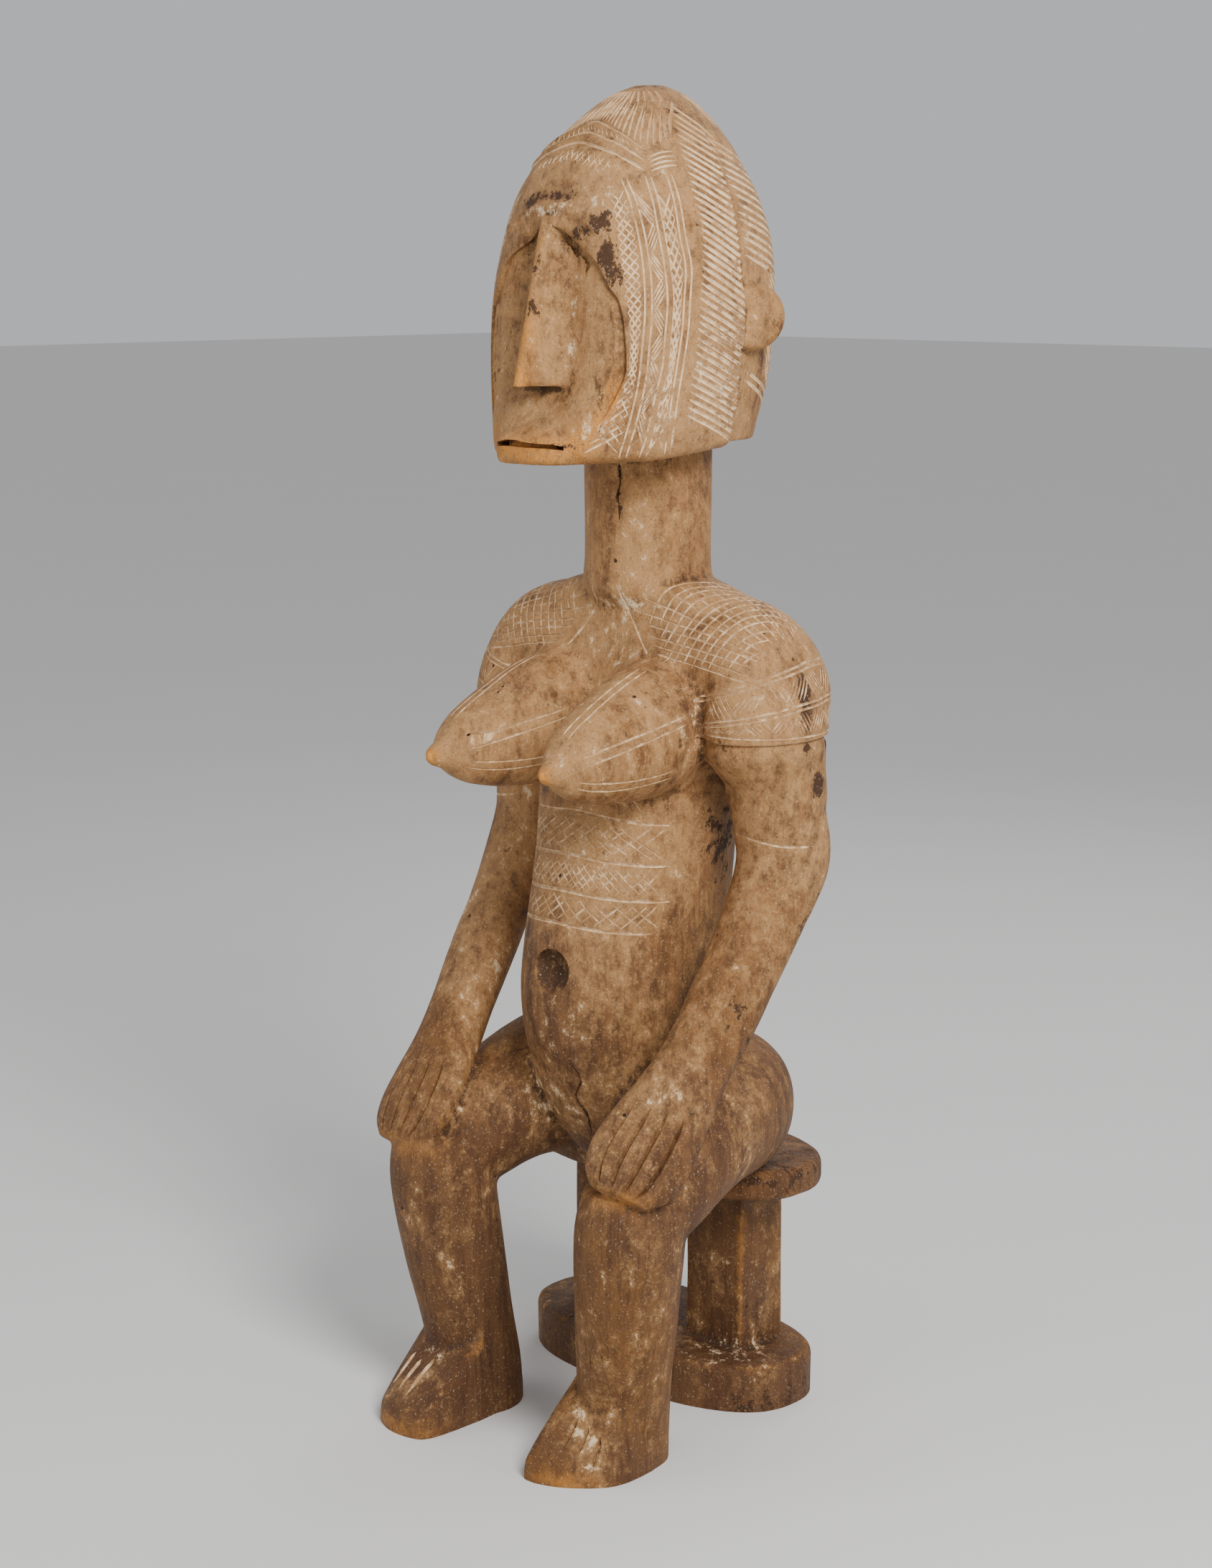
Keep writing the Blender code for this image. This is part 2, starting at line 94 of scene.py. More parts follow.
class FigureForm(bpy.types.PropertyGroup):
    voxel: bpy.props.FloatProperty(
        name="Skin Detail", description="Size of the grid that joins the body's forms",
        default=0.0024, min=0.001, unit="LENGTH")
    body_faces: bpy.props.IntProperty(
        name="Body Faces", description="Triangles of the figure before its lines are cut",
        default=74000, min=10000)
    all_faces: bpy.props.IntProperty(
        name="All Faces", description="Most triangles of the finished figure",
        default=192000, min=20000)
    knife: bpy.props.FloatProperty(
        name="Knife Wander", description="How far the hand-carved surface strays from a smooth one",
        default=0.0007, min=0.0, unit="LENGTH")


class FigureLines(bpy.types.PropertyGroup):
    width: bpy.props.FloatProperty(
        name="Cut Width", description="Width of a fine incised line", default=0.0020, unit="LENGTH")
    depth: bpy.props.FloatProperty(
        name="Cut Depth", description="Depth of a fine incised line", default=0.0010, unit="LENGTH")
    lock_width: bpy.props.FloatProperty(
        name="Lock Width", description="Width of a groove between locks of hair",
        default=0.0030, unit="LENGTH")
    lock_depth: bpy.props.FloatProperty(
        name="Lock Depth", description="Depth of a groove between locks of hair",
        default=0.0015, unit="LENGTH")
    wander: bpy.props.FloatProperty(
        name="Hand Wander", description="Unevenness of hand-cut lines, as a share of their spacing",
        default=0.16, min=0.0, max=0.5)


class FigureFinish(bpy.types.PropertyGroup):
    wood: bpy.props.FloatVectorProperty(
        name="Wood", description="Colour of the bare brown wood",
        default=(0.205, 0.088, 0.028), size=3, subtype="COLOR")
    # Deep wood also gives the painted shade in the creases.
    deep: bpy.props.FloatVectorProperty(
        name="Deep Wood", description="Colour of the darkest, oiled wood",
        default=(0.050, 0.019, 0.006), size=3, subtype="COLOR")
    dust: bpy.props.FloatVectorProperty(
        name="Dust", description="Colour of the dry beige patina",
        default=(0.490, 0.262, 0.100), size=3, subtype="COLOR")
    ochre: bpy.props.FloatVectorProperty(
        name="Worn Wood", description="Colour of wood that handling has laid bare",
        default=(0.580, 0.235, 0.040), size=3, subtype="COLOR")
    chalk: bpy.props.FloatVectorProperty(
        name="Chalk", description="Colour of the pale earth left in the cuts",
        default=(0.860, 0.660, 0.420), size=3, subtype="COLOR")
    # Char also serves as the painted shade between the left arm and the body.
    char: bpy.props.FloatVectorProperty(
        name="Char", description="Colour of burnt and stained patches",
        default=(0.040, 0.014, 0.004), size=3, subtype="COLOR")


class FigureStage(bpy.types.PropertyGroup):
    floor: bpy.props.FloatVectorProperty(
        name="Floor", description="Colour of the studio floor",
        default=(0.74, 0.73, 0.71), size=3, subtype="COLOR")
    key: bpy.props.FloatProperty(
        name="Key Light", description="Power of the main soft light", default=78.0, unit="POWER")
    fill: bpy.props.FloatProperty(
        name="Fill Light", description="Power of the light opposite it", default=9.0, unit="POWER")
    sky: bpy.props.FloatProperty(
        name="Surround", description="Strength of the even light all round", default=0.62)


# Numbers and curves

def lerp(a, b, t):
    return a + (b - a) * t


def smoothstep(a, b, value):
    t = min(1.0, max(0.0, (value - a) / (b - a)))
    return t * t * (3.0 - 2.0 * t)


def catmull(stations, steps):
    """Even flow through a short list of stations, each a tuple of numbers."""
    out = []
    last = len(stations) - 1
    for i in range(last):
        p0 = stations[max(i - 1, 0)]
        p1 = stations[i]
        p2 = stations[i + 1]
        p3 = stations[min(i + 2, last)]
        for s in range(steps):
            t = s / steps
            row = []
            for a, b, c, d in zip(p0, p1, p2, p3):
                row.append(0.5 * (2 * b + (c - a) * t + (2 * a - 5 * b + 4 * c - d) * t * t
                                  + (3 * b - a - 3 * c + d) * t ** 3))
            out.append(tuple(row))
    out.append(tuple(stations[last]))
    return out


def super_point(angle, rx, ry, power):
    c = math.cos(angle)
    s = math.sin(angle)
    return (rx * math.copysign(abs(c) ** (2.0 / power), c),
            ry * math.copysign(abs(s) ** (2.0 / power), s))


def turned(point, twist):
    u, v = point
    return (u * math.cos(twist) + v * math.sin(twist), v * math.cos(twist) - u * math.sin(twist))


def read_off(rows, t):
    """Value at t on a line through (t, value) rows that rise in t."""
    if t <= rows[0][0]:
        return rows[0][1]
    for (t0, v0), (t1, v1) in zip(rows, rows[1:]):
        if t <= t1:
            return lerp(v0, v1, (t - t0) / (t1 - t0))
    return rows[-1][1]


# Mesh helpers

def place_object(name, mesh):
    obj = bpy.data.objects.new(name, mesh)
    bpy.context.scene.collection.objects.link(obj)
    return obj


def skin(name, rings):
    """Closed solid through rings of equal count, with flat ends."""
    mesh = bpy.data.meshes.new(name)
    bm = bmesh.new()
    rows = [[bm.verts.new(p) for p in ring] for ring in rings]
    count = len(rings[0])
    for low, high in zip(rows, rows[1:]):
        for i in range(count):
            j = (i + 1) % count
            bm.faces.new((low[i], low[j], high[j], high[i]))
    bm.faces.new(list(reversed(rows[0])))
    bm.faces.new(rows[-1])
    bmesh.ops.recalc_face_normals(bm, faces=bm.faces)
    bm.to_mesh(mesh)
    bm.free()
    return place_object(name, mesh)


def column(name, stations, steps=10):
    """Upright loft; a station is (z, centre_y, half_width, half_front, half_back, power)."""
    rings = []
    for z, cy, w, front, back, power in catmull(stations, steps):
        ring = []
        for i in range(RING):
            x, y = super_point(2 * math.pi * i / RING, w, 1.0, power)
            ring.append(Vector((x, cy + y * (back if y > 0 else front), z)) * UNIT)
        rings.append(ring)
    return skin(name, rings)


def sweep(name, stations, side, power=2.0, twist=0.0):
    """Limb along a path; a station is (x, y, z, across, thick), side +1 left or -1 right."""
    path = catmull(stations, 10)
    rings = []
    last = len(path) - 1
    for k, (x, y, z, across, thick) in enumerate(path):
        before = Vector(path[max(k - 1, 0)][:3])
        after = Vector(path[min(k + 1, last)][:3])
        along = (after - before).normalized()
        wide = (Vector((1, 0, 0)) - along * along.x).normalized()
        deep = along.cross(wide)
        ring = []
        for i in range(RING):
            u, v = turned(super_point(2 * math.pi * i / RING, across, thick, power), twist)
            p = (Vector((x, y, z)) + wide * u + deep * v) * UNIT
            p.x *= side
            ring.append(p)
        rings.append(ring)
    return skin(name, rings)


def slab(name, length, depth, low, high):
    """Rounded plank with softened upper and lower edges."""
    r = min(EDGE_ROUND, (high - low) * 0.45)
    rows = [(low, r), (low + 0.3 * r, 0.3 * r), (low + r, 0.0),
            (high - r, 0.0), (high - 0.3 * r, 0.3 * r), (high, r)]
    rings = []
    for z, inset in rows:
        ring = []
        for i in range(RING * 2):
            x, y = super_point(math.pi * i / RING, length / 2 - inset, depth / 2 - inset, SLAB_POWER)
            ring.append(Vector((STOOL_X + x, STOOL_Y + y, z)))
        rings.append(ring)
    return skin(name, rings)


def rope(name, points, radius):
    """Round cord through points, thinner at both ends, fused half into the surface."""
    rings = []
    last = len(points) - 1
    for k, p in enumerate(points):
        along = (points[min(k + 1, last)] - points[max(k - 1, 0)]).normalized()
        a = along.orthogonal().normalized()
        b = along.cross(a)
        size = radius * min(1.0, 0.4 + 0.3 * min(k, last - k))
        rings.append([p + (a * math.cos(t) + b * math.sin(t)) * size
                      for t in [math.pi * i / 6 for i in range(12)]])
    return skin(name, rings)


def egg(name, centre, radii, turn=0.0):
    """Ellipsoid, tilted about the X axis."""
    spin = Matrix.Rotation(turn, 3, "X")
    rings = []
    for k in range(1, 20):
        a = math.pi * k / 20
        ring = []
        for i in range(32):
            t = math.pi * i / 16
            out = Vector((radii[0] * math.sin(a) * math.cos(t), radii[1] * math.sin(a) * math.sin(t),
                          -radii[2] * math.cos(a)))
            ring.append((Vector(centre) + spin @ out) * UNIT)
        rings.append(ring)
    return skin(name, rings)


def apply_modifier(obj, kind, **settings):
    modifier = obj.modifiers.new(kind.lower(), kind)
    for key, value in settings.items():
        setattr(modifier, key, value)
    bpy.context.view_layer.objects.active = obj
    bpy.ops.object.modifier_apply(modifier=modifier.name)


def join(parts, name):
    bpy.ops.object.select_all(action="DESELECT")
    for part in parts:
        part.select_set(True)
    bpy.context.view_layer.objects.active = parts[0]
    bpy.ops.object.join()
    body = bpy.context.view_layer.objects.active
    body.name = name
    body.data.name = name
    return body


def fuse(parts, name, voxel, rounds):
    """Join overlapping solids, wrap them in one even skin and ease its creases."""
    body = join(parts, name)
    apply_modifier(body, "REMESH", mode="VOXEL", voxel_size=voxel, adaptivity=0.0)
    apply_modifier(body, "SMOOTH", factor=0.5, iterations=rounds)
    return body


def subtract(body, cutter):
    """Take one closed cutter away; the body must come out of it whole."""
    before = len(body.data.polygons)
    apply_modifier(body, "BOOLEAN", operation="DIFFERENCE", solver="MANIFOLD", object=cutter)
    bpy.data.objects.remove(cutter, do_unlink=True)
    if len(body.data.polygons) < 0.7 * before:
        raise RuntimeError("a cut took most of the figure away")


def coordinates(mesh):
    co = np.empty(len(mesh.vertices) * 3)
    mesh.vertices.foreach_get("co", co)
    return co.reshape(-1, 3)


# Body forms

def torso():
    stations = [
        (0.200, -0.004, 0.030, 0.030, 0.040, 2.2),
        (0.225, -0.010, 0.048, 0.052, 0.062, 2.2),
        (0.262, -0.016, 0.068, 0.072, 0.078, 2.2),
        (0.310, -0.018, 0.077, 0.089, 0.082, 2.2),
        (0.360, -0.018, 0.080, 0.099, 0.079, 2.2),
        (0.410, -0.016, 0.080, 0.096, 0.077, 2.2),
        (0.460, -0.013, 0.080, 0.087, 0.076, 2.2),
        (0.510, -0.009, 0.084, 0.077, 0.073, 2.3),
        (0.560, -0.004, 0.093, 0.068, 0.070, 2.5),
        (0.605, 0.002, 0.114, 0.062, 0.066, 2.7),
        (0.640, 0.005, 0.138, 0.056, 0.062, 2.8),
        (0.668, 0.006, 0.138, 0.049, 0.055, 2.6),
        (0.686, 0.005, 0.116, 0.047, 0.050, 2.3),
        (0.700, 0.003, 0.084, 0.044, 0.046, 2.1),
        (0.708, 0.002, 0.054, 0.042, 0.044, 2.0),
    ]
    return column("torso", stations)


def yoke():
    """Shoulder girdle that runs into both arms."""
    stations = [
        (0.000, 0.004, 0.640, 0.052, 0.062),
        (0.050, 0.004, 0.642, 0.051, 0.060),
        (0.085, 0.005, 0.640, 0.051, 0.059),
        (0.115, 0.006, 0.636, 0.051, 0.057),
        (0.140, 0.006, 0.628, 0.048, 0.052),
        (0.159, 0.006, 0.619, 0.040, 0.038),
        (0.170, 0.006, 0.612, 0.021, 0.018),
    ]
    path = catmull(stations, 8)
    path = [(-x, y, z, a, b) for x, y, z, a, b in reversed(path[1:])] + path
    rings = []
    for x, y, z, deep, tall in path:
        ring = []
        for i in range(RING):
            u, v = super_point(2 * math.pi * i / RING, deep, tall, 2.1)
            ring.append(Vector((x, y + u, z + v)) * UNIT)
        rings.append(ring)
    return skin("yoke", rings)


def neck():
    stations = [
        (0.680, 0.001, 0.0400, 0.0380, 0.0400, 2.0),
        (0.696, 0.000, 0.0525, 0.0500, 0.0525, 2.0),
        (0.712, 0.000, 0.0530, 0.0520, 0.0530, 2.0),
        (0.730, 0.000, 0.0520, 0.0510, 0.0520, 2.0),
        (0.840, 0.000, 0.0530, 0.0520, 0.0530, 2.0),
    ]
    return column("neck", stations)


def breast(side):
    stations = [
        (0.052, -0.010, 0.600, 0.044, 0.050),
        (0.054, -0.045, 0.594, 0.048, 0.054),
        (0.057, -0.085, 0.586, 0.046, 0.050),
        (0.060, -0.122, 0.579, 0.039, 0.041),
        (0.062, -0.150, 0.575, 0.029, 0.031),
        (0.063, -0.166, 0.573, 0.019, 0.021),
        (0.0635, -0.174, 0.572, 0.0120, 0.0125),
        (0.064, -0.182, 0.571, 0.0095, 0.0095),
        (0.064, -0.188, 0.570, 0.0060, 0.0060),
    ]
    return sweep("breast", stations, side)


def upper_arm(side):
    stations = [
        (0.104, 0.006, 0.646, 0.034, 0.042),
        (0.121, 0.006, 0.634, 0.042, 0.047),
        (0.129, 0.006, 0.600, 0.044, 0.046),
        (0.132, 0.008, 0.565, 0.042, 0.042),
        (0.135, 0.011, 0.530, 0.041, 0.039),
    ]
    return sweep("upper_arm", stations, side)


def shoulder_cap(side):
    """Cap that stands proud of the plain arm below it, most of all in front."""
    stations = [
        (0.116, 0.006, 0.650, 0.0340, 0.0380),
        (0.124, 0.003, 0.630, 0.0450, 0.0490),
        (0.129, 0.000, 0.608, 0.0478, 0.0530),
        (0.130, -0.001, 0.590, 0.0482, 0.0540),
        (0.131, 0.001, 0.580, 0.0470, 0.0510),
        (0.132, 0.006, 0.560, 0.0410, 0.0400),
    ]
    return sweep("shoulder_cap", stations, side)


LOWER_ARM = [
    (0.132, 0.008, 0.565, 0.036, 0.038),
    (0.137, 0.010, 0.520, 0.038, 0.038),
    (0.141, 0.010, 0.488, 0.038, 0.035),
    (0.142, -0.012, 0.448, 0.034, 0.029),
    (0.140, -0.051, 0.388, 0.031, 0.023),
    (0.136, -0.086, 0.335, 0.030, 0.021),
    (0.133, -0.108, 0.304, 0.034, 0.018),
    (0.131, -0.128, 0.279, 0.040, 0.016),
    (0.129, -0.146, 0.258, 0.042, 0.015),
    (0.128, -0.160, 0.242, 0.037, 0.012),
    (0.128, -0.169, 0.232, 0.024, 0.008),
]
LEFT_ARM_TWIST = math.radians(24)
RIGHT_ARM_TWIST = math.radians(4)
LEFT_HAND_RAISE = 0.010


def arm_twist(side):
    return LEFT_ARM_TWIST if side > 0 else RIGHT_ARM_TWIST


def lower_arm_path(side):
    rows = []
    for x, y, z, across, thick in LOWER_ARM:
        raised = LEFT_HAND_RAISE * (1.0 - smoothstep(0.27, 0.38, z)) if side > 0 else 0.0
        rows.append((x, y, z + raised, across, thick))
    return rows


def lower_arm(side):
    return sweep("lower_arm", lower_arm_path(side)[:6], side, twist=arm_twist(side))


def hand(side):
    """Lower forearm and flat mitten hand, with a sharp rim where it lies on the knee."""
    path = lower_arm_path(side)[3:]
    x, y, z, across, thick = path[0]
    path[0] = (x, y, z, across * 0.80, thick * 0.80)
    return sweep("hand", path, side, power=2.3, twist=arm_twist(side))


def leg(side):
    """Thigh from the seat to the knee, then the shin."""
    thigh = [
        (0.047, 0.078, 0.258, 0.010, 0.010),
        (0.049, 0.073, 0.260, 0.030, 0.030),
        (0.054, 0.056, 0.264, 0.048, 0.047),
        (0.063, 0.028, 0.268, 0.064, 0.063),
        (0.080, -0.018, 0.268, 0.067, 0.063),
        (0.098, -0.070, 0.252, 0.058, 0.052),
        (0.109, -0.112, 0.227, 0.048, 0.045),
        (0.111, -0.132, 0.208, 0.038, 0.036),
    ]
    shin = [
        (0.111, -0.136, 0.240, 0.038, 0.036),
        (0.110, -0.136, 0.205, 0.045, 0.044),
        (0.102, -0.131, 0.140, 0.042, 0.043),
        (0.093, -0.124, 0.080, 0.038, 0.040),
        (0.087, -0.118, 0.030, 0.036, 0.039),
        (0.086, -0.118, -0.012, 0.036, 0.039),
    ]
    return [sweep("thigh", thigh, side), sweep("shin", shin, side)]


def foot_plan(side):
    """Outline of the sole, inner side first; her left foot is the shorter one."""
    if side > 0:
        toes = [(0.052, -0.150), (0.054, -0.196), (0.066, -0.207),
                (0.094, -0.197), (0.121, -0.170), (0.125, -0.138)]
    else:
        toes = [(0.050, -0.150), (0.052, -0.203), (0.066, -0.216),
                (0.094, -0.216), (0.121, -0.198), (0.128, -0.160)]
    return toes + [(0.118, -0.102), (0.099, -0.080), (0.073, -0.080), (0.056, -0.100)]


def foot(side):
    """Wedge foot: slanted toes and a narrow heel."""
    plan = foot_plan(side)
    outline = catmull(plan + [plan[0]], 8)[:-1]
    rings = []
    slope = [(-0.012, 0.0), (0.006, 0.0), (0.015, 0.03), (0.028, 0.22),
             (0.046, 0.52), (0.064, 0.86), (0.071, 1.0)]
    for z, rise in slope:
        ring = []
        for x, y in outline:
            if y < -0.140:
                y = lerp(y, -0.140, rise * 0.98)
            x = lerp(x, 0.087, (0.10 if y < -0.14 else 0.22) * rise)
            if y > -0.110:
                y = lerp(y, -0.110, 0.32 * rise)
            ring.append(Vector((x * side, y, z)) * UNIT)
        rings.append(ring)
    return skin("foot", rings)


# Head forms

FACE_BOTTOM = 0.830
FACE_TOP = 0.992
RIM_STEP = 0.0035
DISH_DEPTH = 0.013
FLAP_EDGE = -0.003
FLAP_STEP = 0.009
HEAD_AXIS_Y = -0.014


def helmet_stations(inset):
    rows = [
        (0.808, -0.016, 0.086, 0.118, 0.086, 2.2),
        (0.815, -0.016, 0.095, 0.123, 0.096, 2.2),
        (0.840, -0.016, 0.100, 0.119, 0.102, 2.3),
        (0.880, -0.015, 0.105, 0.115, 0.110, 2.4),
        (0.930, -0.014, 0.107, 0.111, 0.114, 2.4),
        (0.975, -0.012, 0.103, 0.104, 0.111, 2.4),
        (1.015, -0.009, 0.092, 0.096, 0.097, 2.3),
        (1.048, -0.006, 0.073, 0.077, 0.077, 2.2),
        (1.076, -0.003, 0.049, 0.050, 0.051, 2.1),
        (1.092, -0.001, 0.030, 0.030, 0.031, 2.0),
        (1.1000, 0.000, 0.011, 0.011, 0.011, 2.0),
    ]
    return [(z, cy, w - inset, f - inset, b, p) for z, cy, w, f, b, p in rows]


RIM_HALF_WIDTH = [(0.815, 0.034), (0.840, 0.048), (0.862, 0.062), (0.885, 0.069), (0.910, 0.070),
                  (0.935, 0.064), (0.958, 0.052), (0.978, 0.032), (0.992, 0.012), (0.993, 0.001)]


def face_hollow(x, z):
    """Depth of the face below the head's own surface."""
    edge = max(read_off(RIM_HALF_WIDTH, z), 0.001)
    depth = DISH_DEPTH * (1.0 - smoothstep(0.0, edge, abs(x)))
    depth += RIM_STEP * (1.0 - smoothstep(edge - 0.005, edge, abs(x)))
    depth *= smoothstep(FACE_BOTTOM, FACE_BOTTOM + 0.040, z)
    return depth * (1.0 - smoothstep(FACE_TOP - 0.008, FACE_TOP, z))


def helmet():
    """Front half of the head with the hollowed face; ends at the edge of the hair flap."""
    rings = []
    for z, cy, w, front, back, power in catmull(helmet_stations(0.0), 18):
        ring = []
        for i in range(RING * 4):
            x, y = super_point(math.pi * i / (2 * RING), w, 1.0, power)
            y = cy + y * (back if y > 0 else front)
            if y < cy:
                y += face_hollow(x, z)
            y = min(y, FLAP_EDGE)
            lift = 0.008 * smoothstep(-0.09, FLAP_EDGE, y) * (1.0 - smoothstep(0.808, 0.850, z))
            ring.append(Vector((x, y, z + lift)) * UNIT)
        rings.append(ring)
    return skin("helmet", rings)


def back_hair():
    """Recessed hair behind the flap, shorter at the bottom."""
    rows = [row for row in catmull(helmet_stations(FLAP_STEP), 14) if row[0] > 0.820]
    rings = []
    for z, cy, w, front, back, power in rows:
        ring = []
        fade = 1.0 - smoothstep(1.03, 1.075, z)
        for i in range(RING * 2):
            x, y = super_point(math.pi * i / RING, w + FLAP_STEP * (1.0 - fade), 1.0, power)
            y = cy + y * (back if y > 0 else front * 0.8)
            ring.append(Vector((x, y, z)) * UNIT)
        rings.append(ring)
    return skin("back_hair", rings)


HEAD_ROWS = catmull(helmet_stations(0.0), 18)


def face_front(x, z):
    """The hollowed face's own surface, as y at a place on it."""
    cy = read_off([(row[0], row[1]) for row in HEAD_ROWS], z)
    w = read_off([(row[0], row[2]) for row in HEAD_ROWS], z)
    front = read_off([(row[0], row[3]) for row in HEAD_ROWS], z)
    power = read_off([(row[0], row[5]) for row in HEAD_ROWS], z)
    return cy - front * (1.0 - abs(x / w) ** power) ** (1.0 / power) + face_hollow(x, z)


def nose():
    """Long wedge whose flanks sweep out into the cheeks, with an undercut tip."""
    rings = []
    for t in [k / 24 for k in range(25)]:
        z = lerp(0.866, 0.996, t)
        half = lerp(0.046, 0.030, t)
        rise = face_front(0.0, z) - lerp(-0.1515, -0.119, t)
        right = [(-half, -0.085)]
        for s in [k / 14 for k in range(14)]:
            x = lerp(half, 0.003, s)
            right.append((-x, face_front(x, z) - rise * (1.0 - (x - 0.003) / half) ** 3.6 + 0.0003))
        right.append((-0.0028, face_front(0.0, z) - rise))
        ring = right + [(-x, y) for x, y in reversed(right)]
        rings.append([Vector((x, y, z)) * UNIT for x, y in ring])
    return skin("nose", rings)


def chin():
    """Shovel chin that carries both lips and rises into the face in one sweep."""
    stations = [
        (0.806, -0.070, 0.045, 0.076, 0.040, 2.9),
        (0.8075, -0.070, 0.047, 0.079, 0.040, 2.9),
        (0.817, -0.070, 0.0485, 0.080, 0.040, 2.9),
        (0.825, -0.070, 0.0475, 0.079, 0.040, 2.8),
        (0.832, -0.070, 0.043, 0.071, 0.040, 2.5),
        (0.843, -0.070, 0.037, 0.060, 0.040, 2.3),
        (0.858, -0.070, 0.028, 0.048, 0.040, 2.1),
        (0.874, -0.070, 0.016, 0.038, 0.040, 2.0),
    ]
    return column("chin", stations, steps=5)


def ear(side):
    """Half-disc lug standing off the side of the head behind the flap."""
    rings = []
    turn = math.radians(62)
    along = Vector((math.cos(turn), math.sin(turn), 0))
    out = Vector((math.sin(turn), -math.cos(turn), 0))
    centre = Vector((0.098, 0.014, 0.919))
    for depth, size in ((-0.020, 0.0255), (0.004, 0.0265), (0.009, 0.0255), (0.012, 0.0215)):
        ring = []
        for i in range(RING):
            a = 2 * math.pi * i / RING
            p = centre + out * depth + along * (size * math.cos(a)) + Vector((0, 0, size * math.sin(a)))
            p.x *= side
            ring.append(p * UNIT)
        rings.append(ring)
    return skin("ear", rings)


def raised_lines(head):
    """Brow ridge, double hairline arc and the plain ridge before the side locks."""
    tree = tree_of(head)
    ropes = []

    def along(controls, sink):
        points = []
        for turn, z in catmull(controls, 6):
            spot, out = cast_from_axis(tree, (0.0, HEAD_AXIS_Y), turn, z)
            points.append(spot - out * sink)
        return points

    ropes.append(rope("brow", along(BROW, 0.0004), 0.0044))
    for rise in (0.0, 0.0090):
        arc = [(turn, z + rise) for turn, z in HAIRLINE]
        ropes.append(rope("hairline", along(arc, 0.0004), 0.0036))
    for side in (-1, 1):
        edge = [(side * (turn - 3), z) for turn, z in RIDGE_LINE]
        ropes.append(rope("ridge", along(edge, 0.0030), 0.0052))
    return ropes


def stool():
    parts = [
        slab("seat", SEAT_LENGTH, SEAT_DEPTH, SEAT_TOP - SEAT_THICK, SEAT_TOP),
        slab("base", BASE_LENGTH, BASE_DEPTH, -SINK, BASE_THICK),
    ]
    for side in (-1, 1):
        rings = []
        for z in (BASE_THICK - 0.010, SEAT_TOP - SEAT_THICK / 2):
            cx = STOOL_X + side * POST_SPREAD / 2
            hx = POST_WIDTH / 2
            hy = POST_DEPTH / 2
            square = ((-1, -1), (1, -1), (1, 1), (-1, 1))
            rings.append([Vector((cx + sx * hx, POST_Y + sy * hy, z)) for sx, sy in square])
        parts.append(skin("post", rings))
    return parts


# Surface places

def tree_of(obj):
    corners = [v.co for v in obj.data.vertices]
    return BVHTree.FromPolygons(corners, [p.vertices for p in obj.data.polygons])


def cast(tree, start, direction):
    """First surface met from a point inside the wood, and its outward normal."""
    spot, normal, _, _ = tree.ray_cast(Vector(start) * UNIT, direction)
    if spot is None:
        return None
    return spot, (normal if normal.dot(direction) > 0 else -normal)


def cast_from_axis(tree, axis, turn, z):
    """Surface at a turn in degrees from her front, towards her left, at height z."""
    a = math.radians(turn)
    return cast(tree, (axis[0], axis[1], z), Vector((math.sin(a), -math.cos(a), 0)))


class Places:
    """Two-number addresses on each part of the body, found on the finished skin."""

    def __init__(self, obj):
        self.tree = tree_of(obj)

    def head(self, turn, z):
        return cast_from_axis(self.tree, (0.0, HEAD_AXIS_Y), turn, z)

    def trunk(self, turn, z):
        return cast_from_axis(self.tree, (0.0, -0.008), turn, z)

    def arm(self, side):
        return lambda turn, z: cast_from_axis(self.tree, (side * 0.130, 0.002), side * turn, z)

    def shoulder(self, side):
        """x from the middle, and the turn from the front up and over to the back."""
        def find(x, turn):
            a = math.radians(turn)
            return cast(self.tree, (side * x, 0.006, 0.632), Vector((0, -math.cos(a), math.sin(a))))
        return find

    def breast(self, side):
        """Turn about the breast's own length, 0 outward and 90 up, at a depth y."""
        def find(turn, y):
            a = math.radians(turn)
            x = read_off([(-0.188, 0.064), (-0.045, 0.054)], y)
            z = read_off([(-0.188, 0.570), (-0.045, 0.594)], y)
            return cast(self.tree, (side * x, y, z), Vector((side * math.cos(a), 0, math.sin(a))))
        return find

    def down(self, x, y):
        spot = self.tree.ray_cast(Vector((x, y, 0.12)) * UNIT, Vector((0, 0, -1)))
        return (spot[0], spot[1]) if spot[0] is not None else None


# Cutting tools

def trace(place, controls, step=0.0045):
    """Surface points and normals along a line given by a pattern's own addresses."""
    dense = catmull(controls, 8)
    hits = [place(*c) for c in dense]
    kept = [(c, h) for c, h in zip(dense, hits) if h is not None]
    if len(kept) < 3:
        return None
    run = [0.0]
    for (_, a), (_, b) in zip(kept, kept[1:]):
        run.append(run[-1] + (b[0] - a[0]).length)
    count = max(3, round(run[-1] / (step * UNIT)))
    line = []
    for k in range(count + 1):
        t = run[-1] * k / count
        address = tuple(read_off([(r, c[axis]) for r, (c, _) in zip(run, kept)], t) for axis in (0, 1))
        hit = place(*address)
        if hit is not None:
            line.append(hit)
    return line if len(line) > 2 else None


CUT_RISE = 0.0010


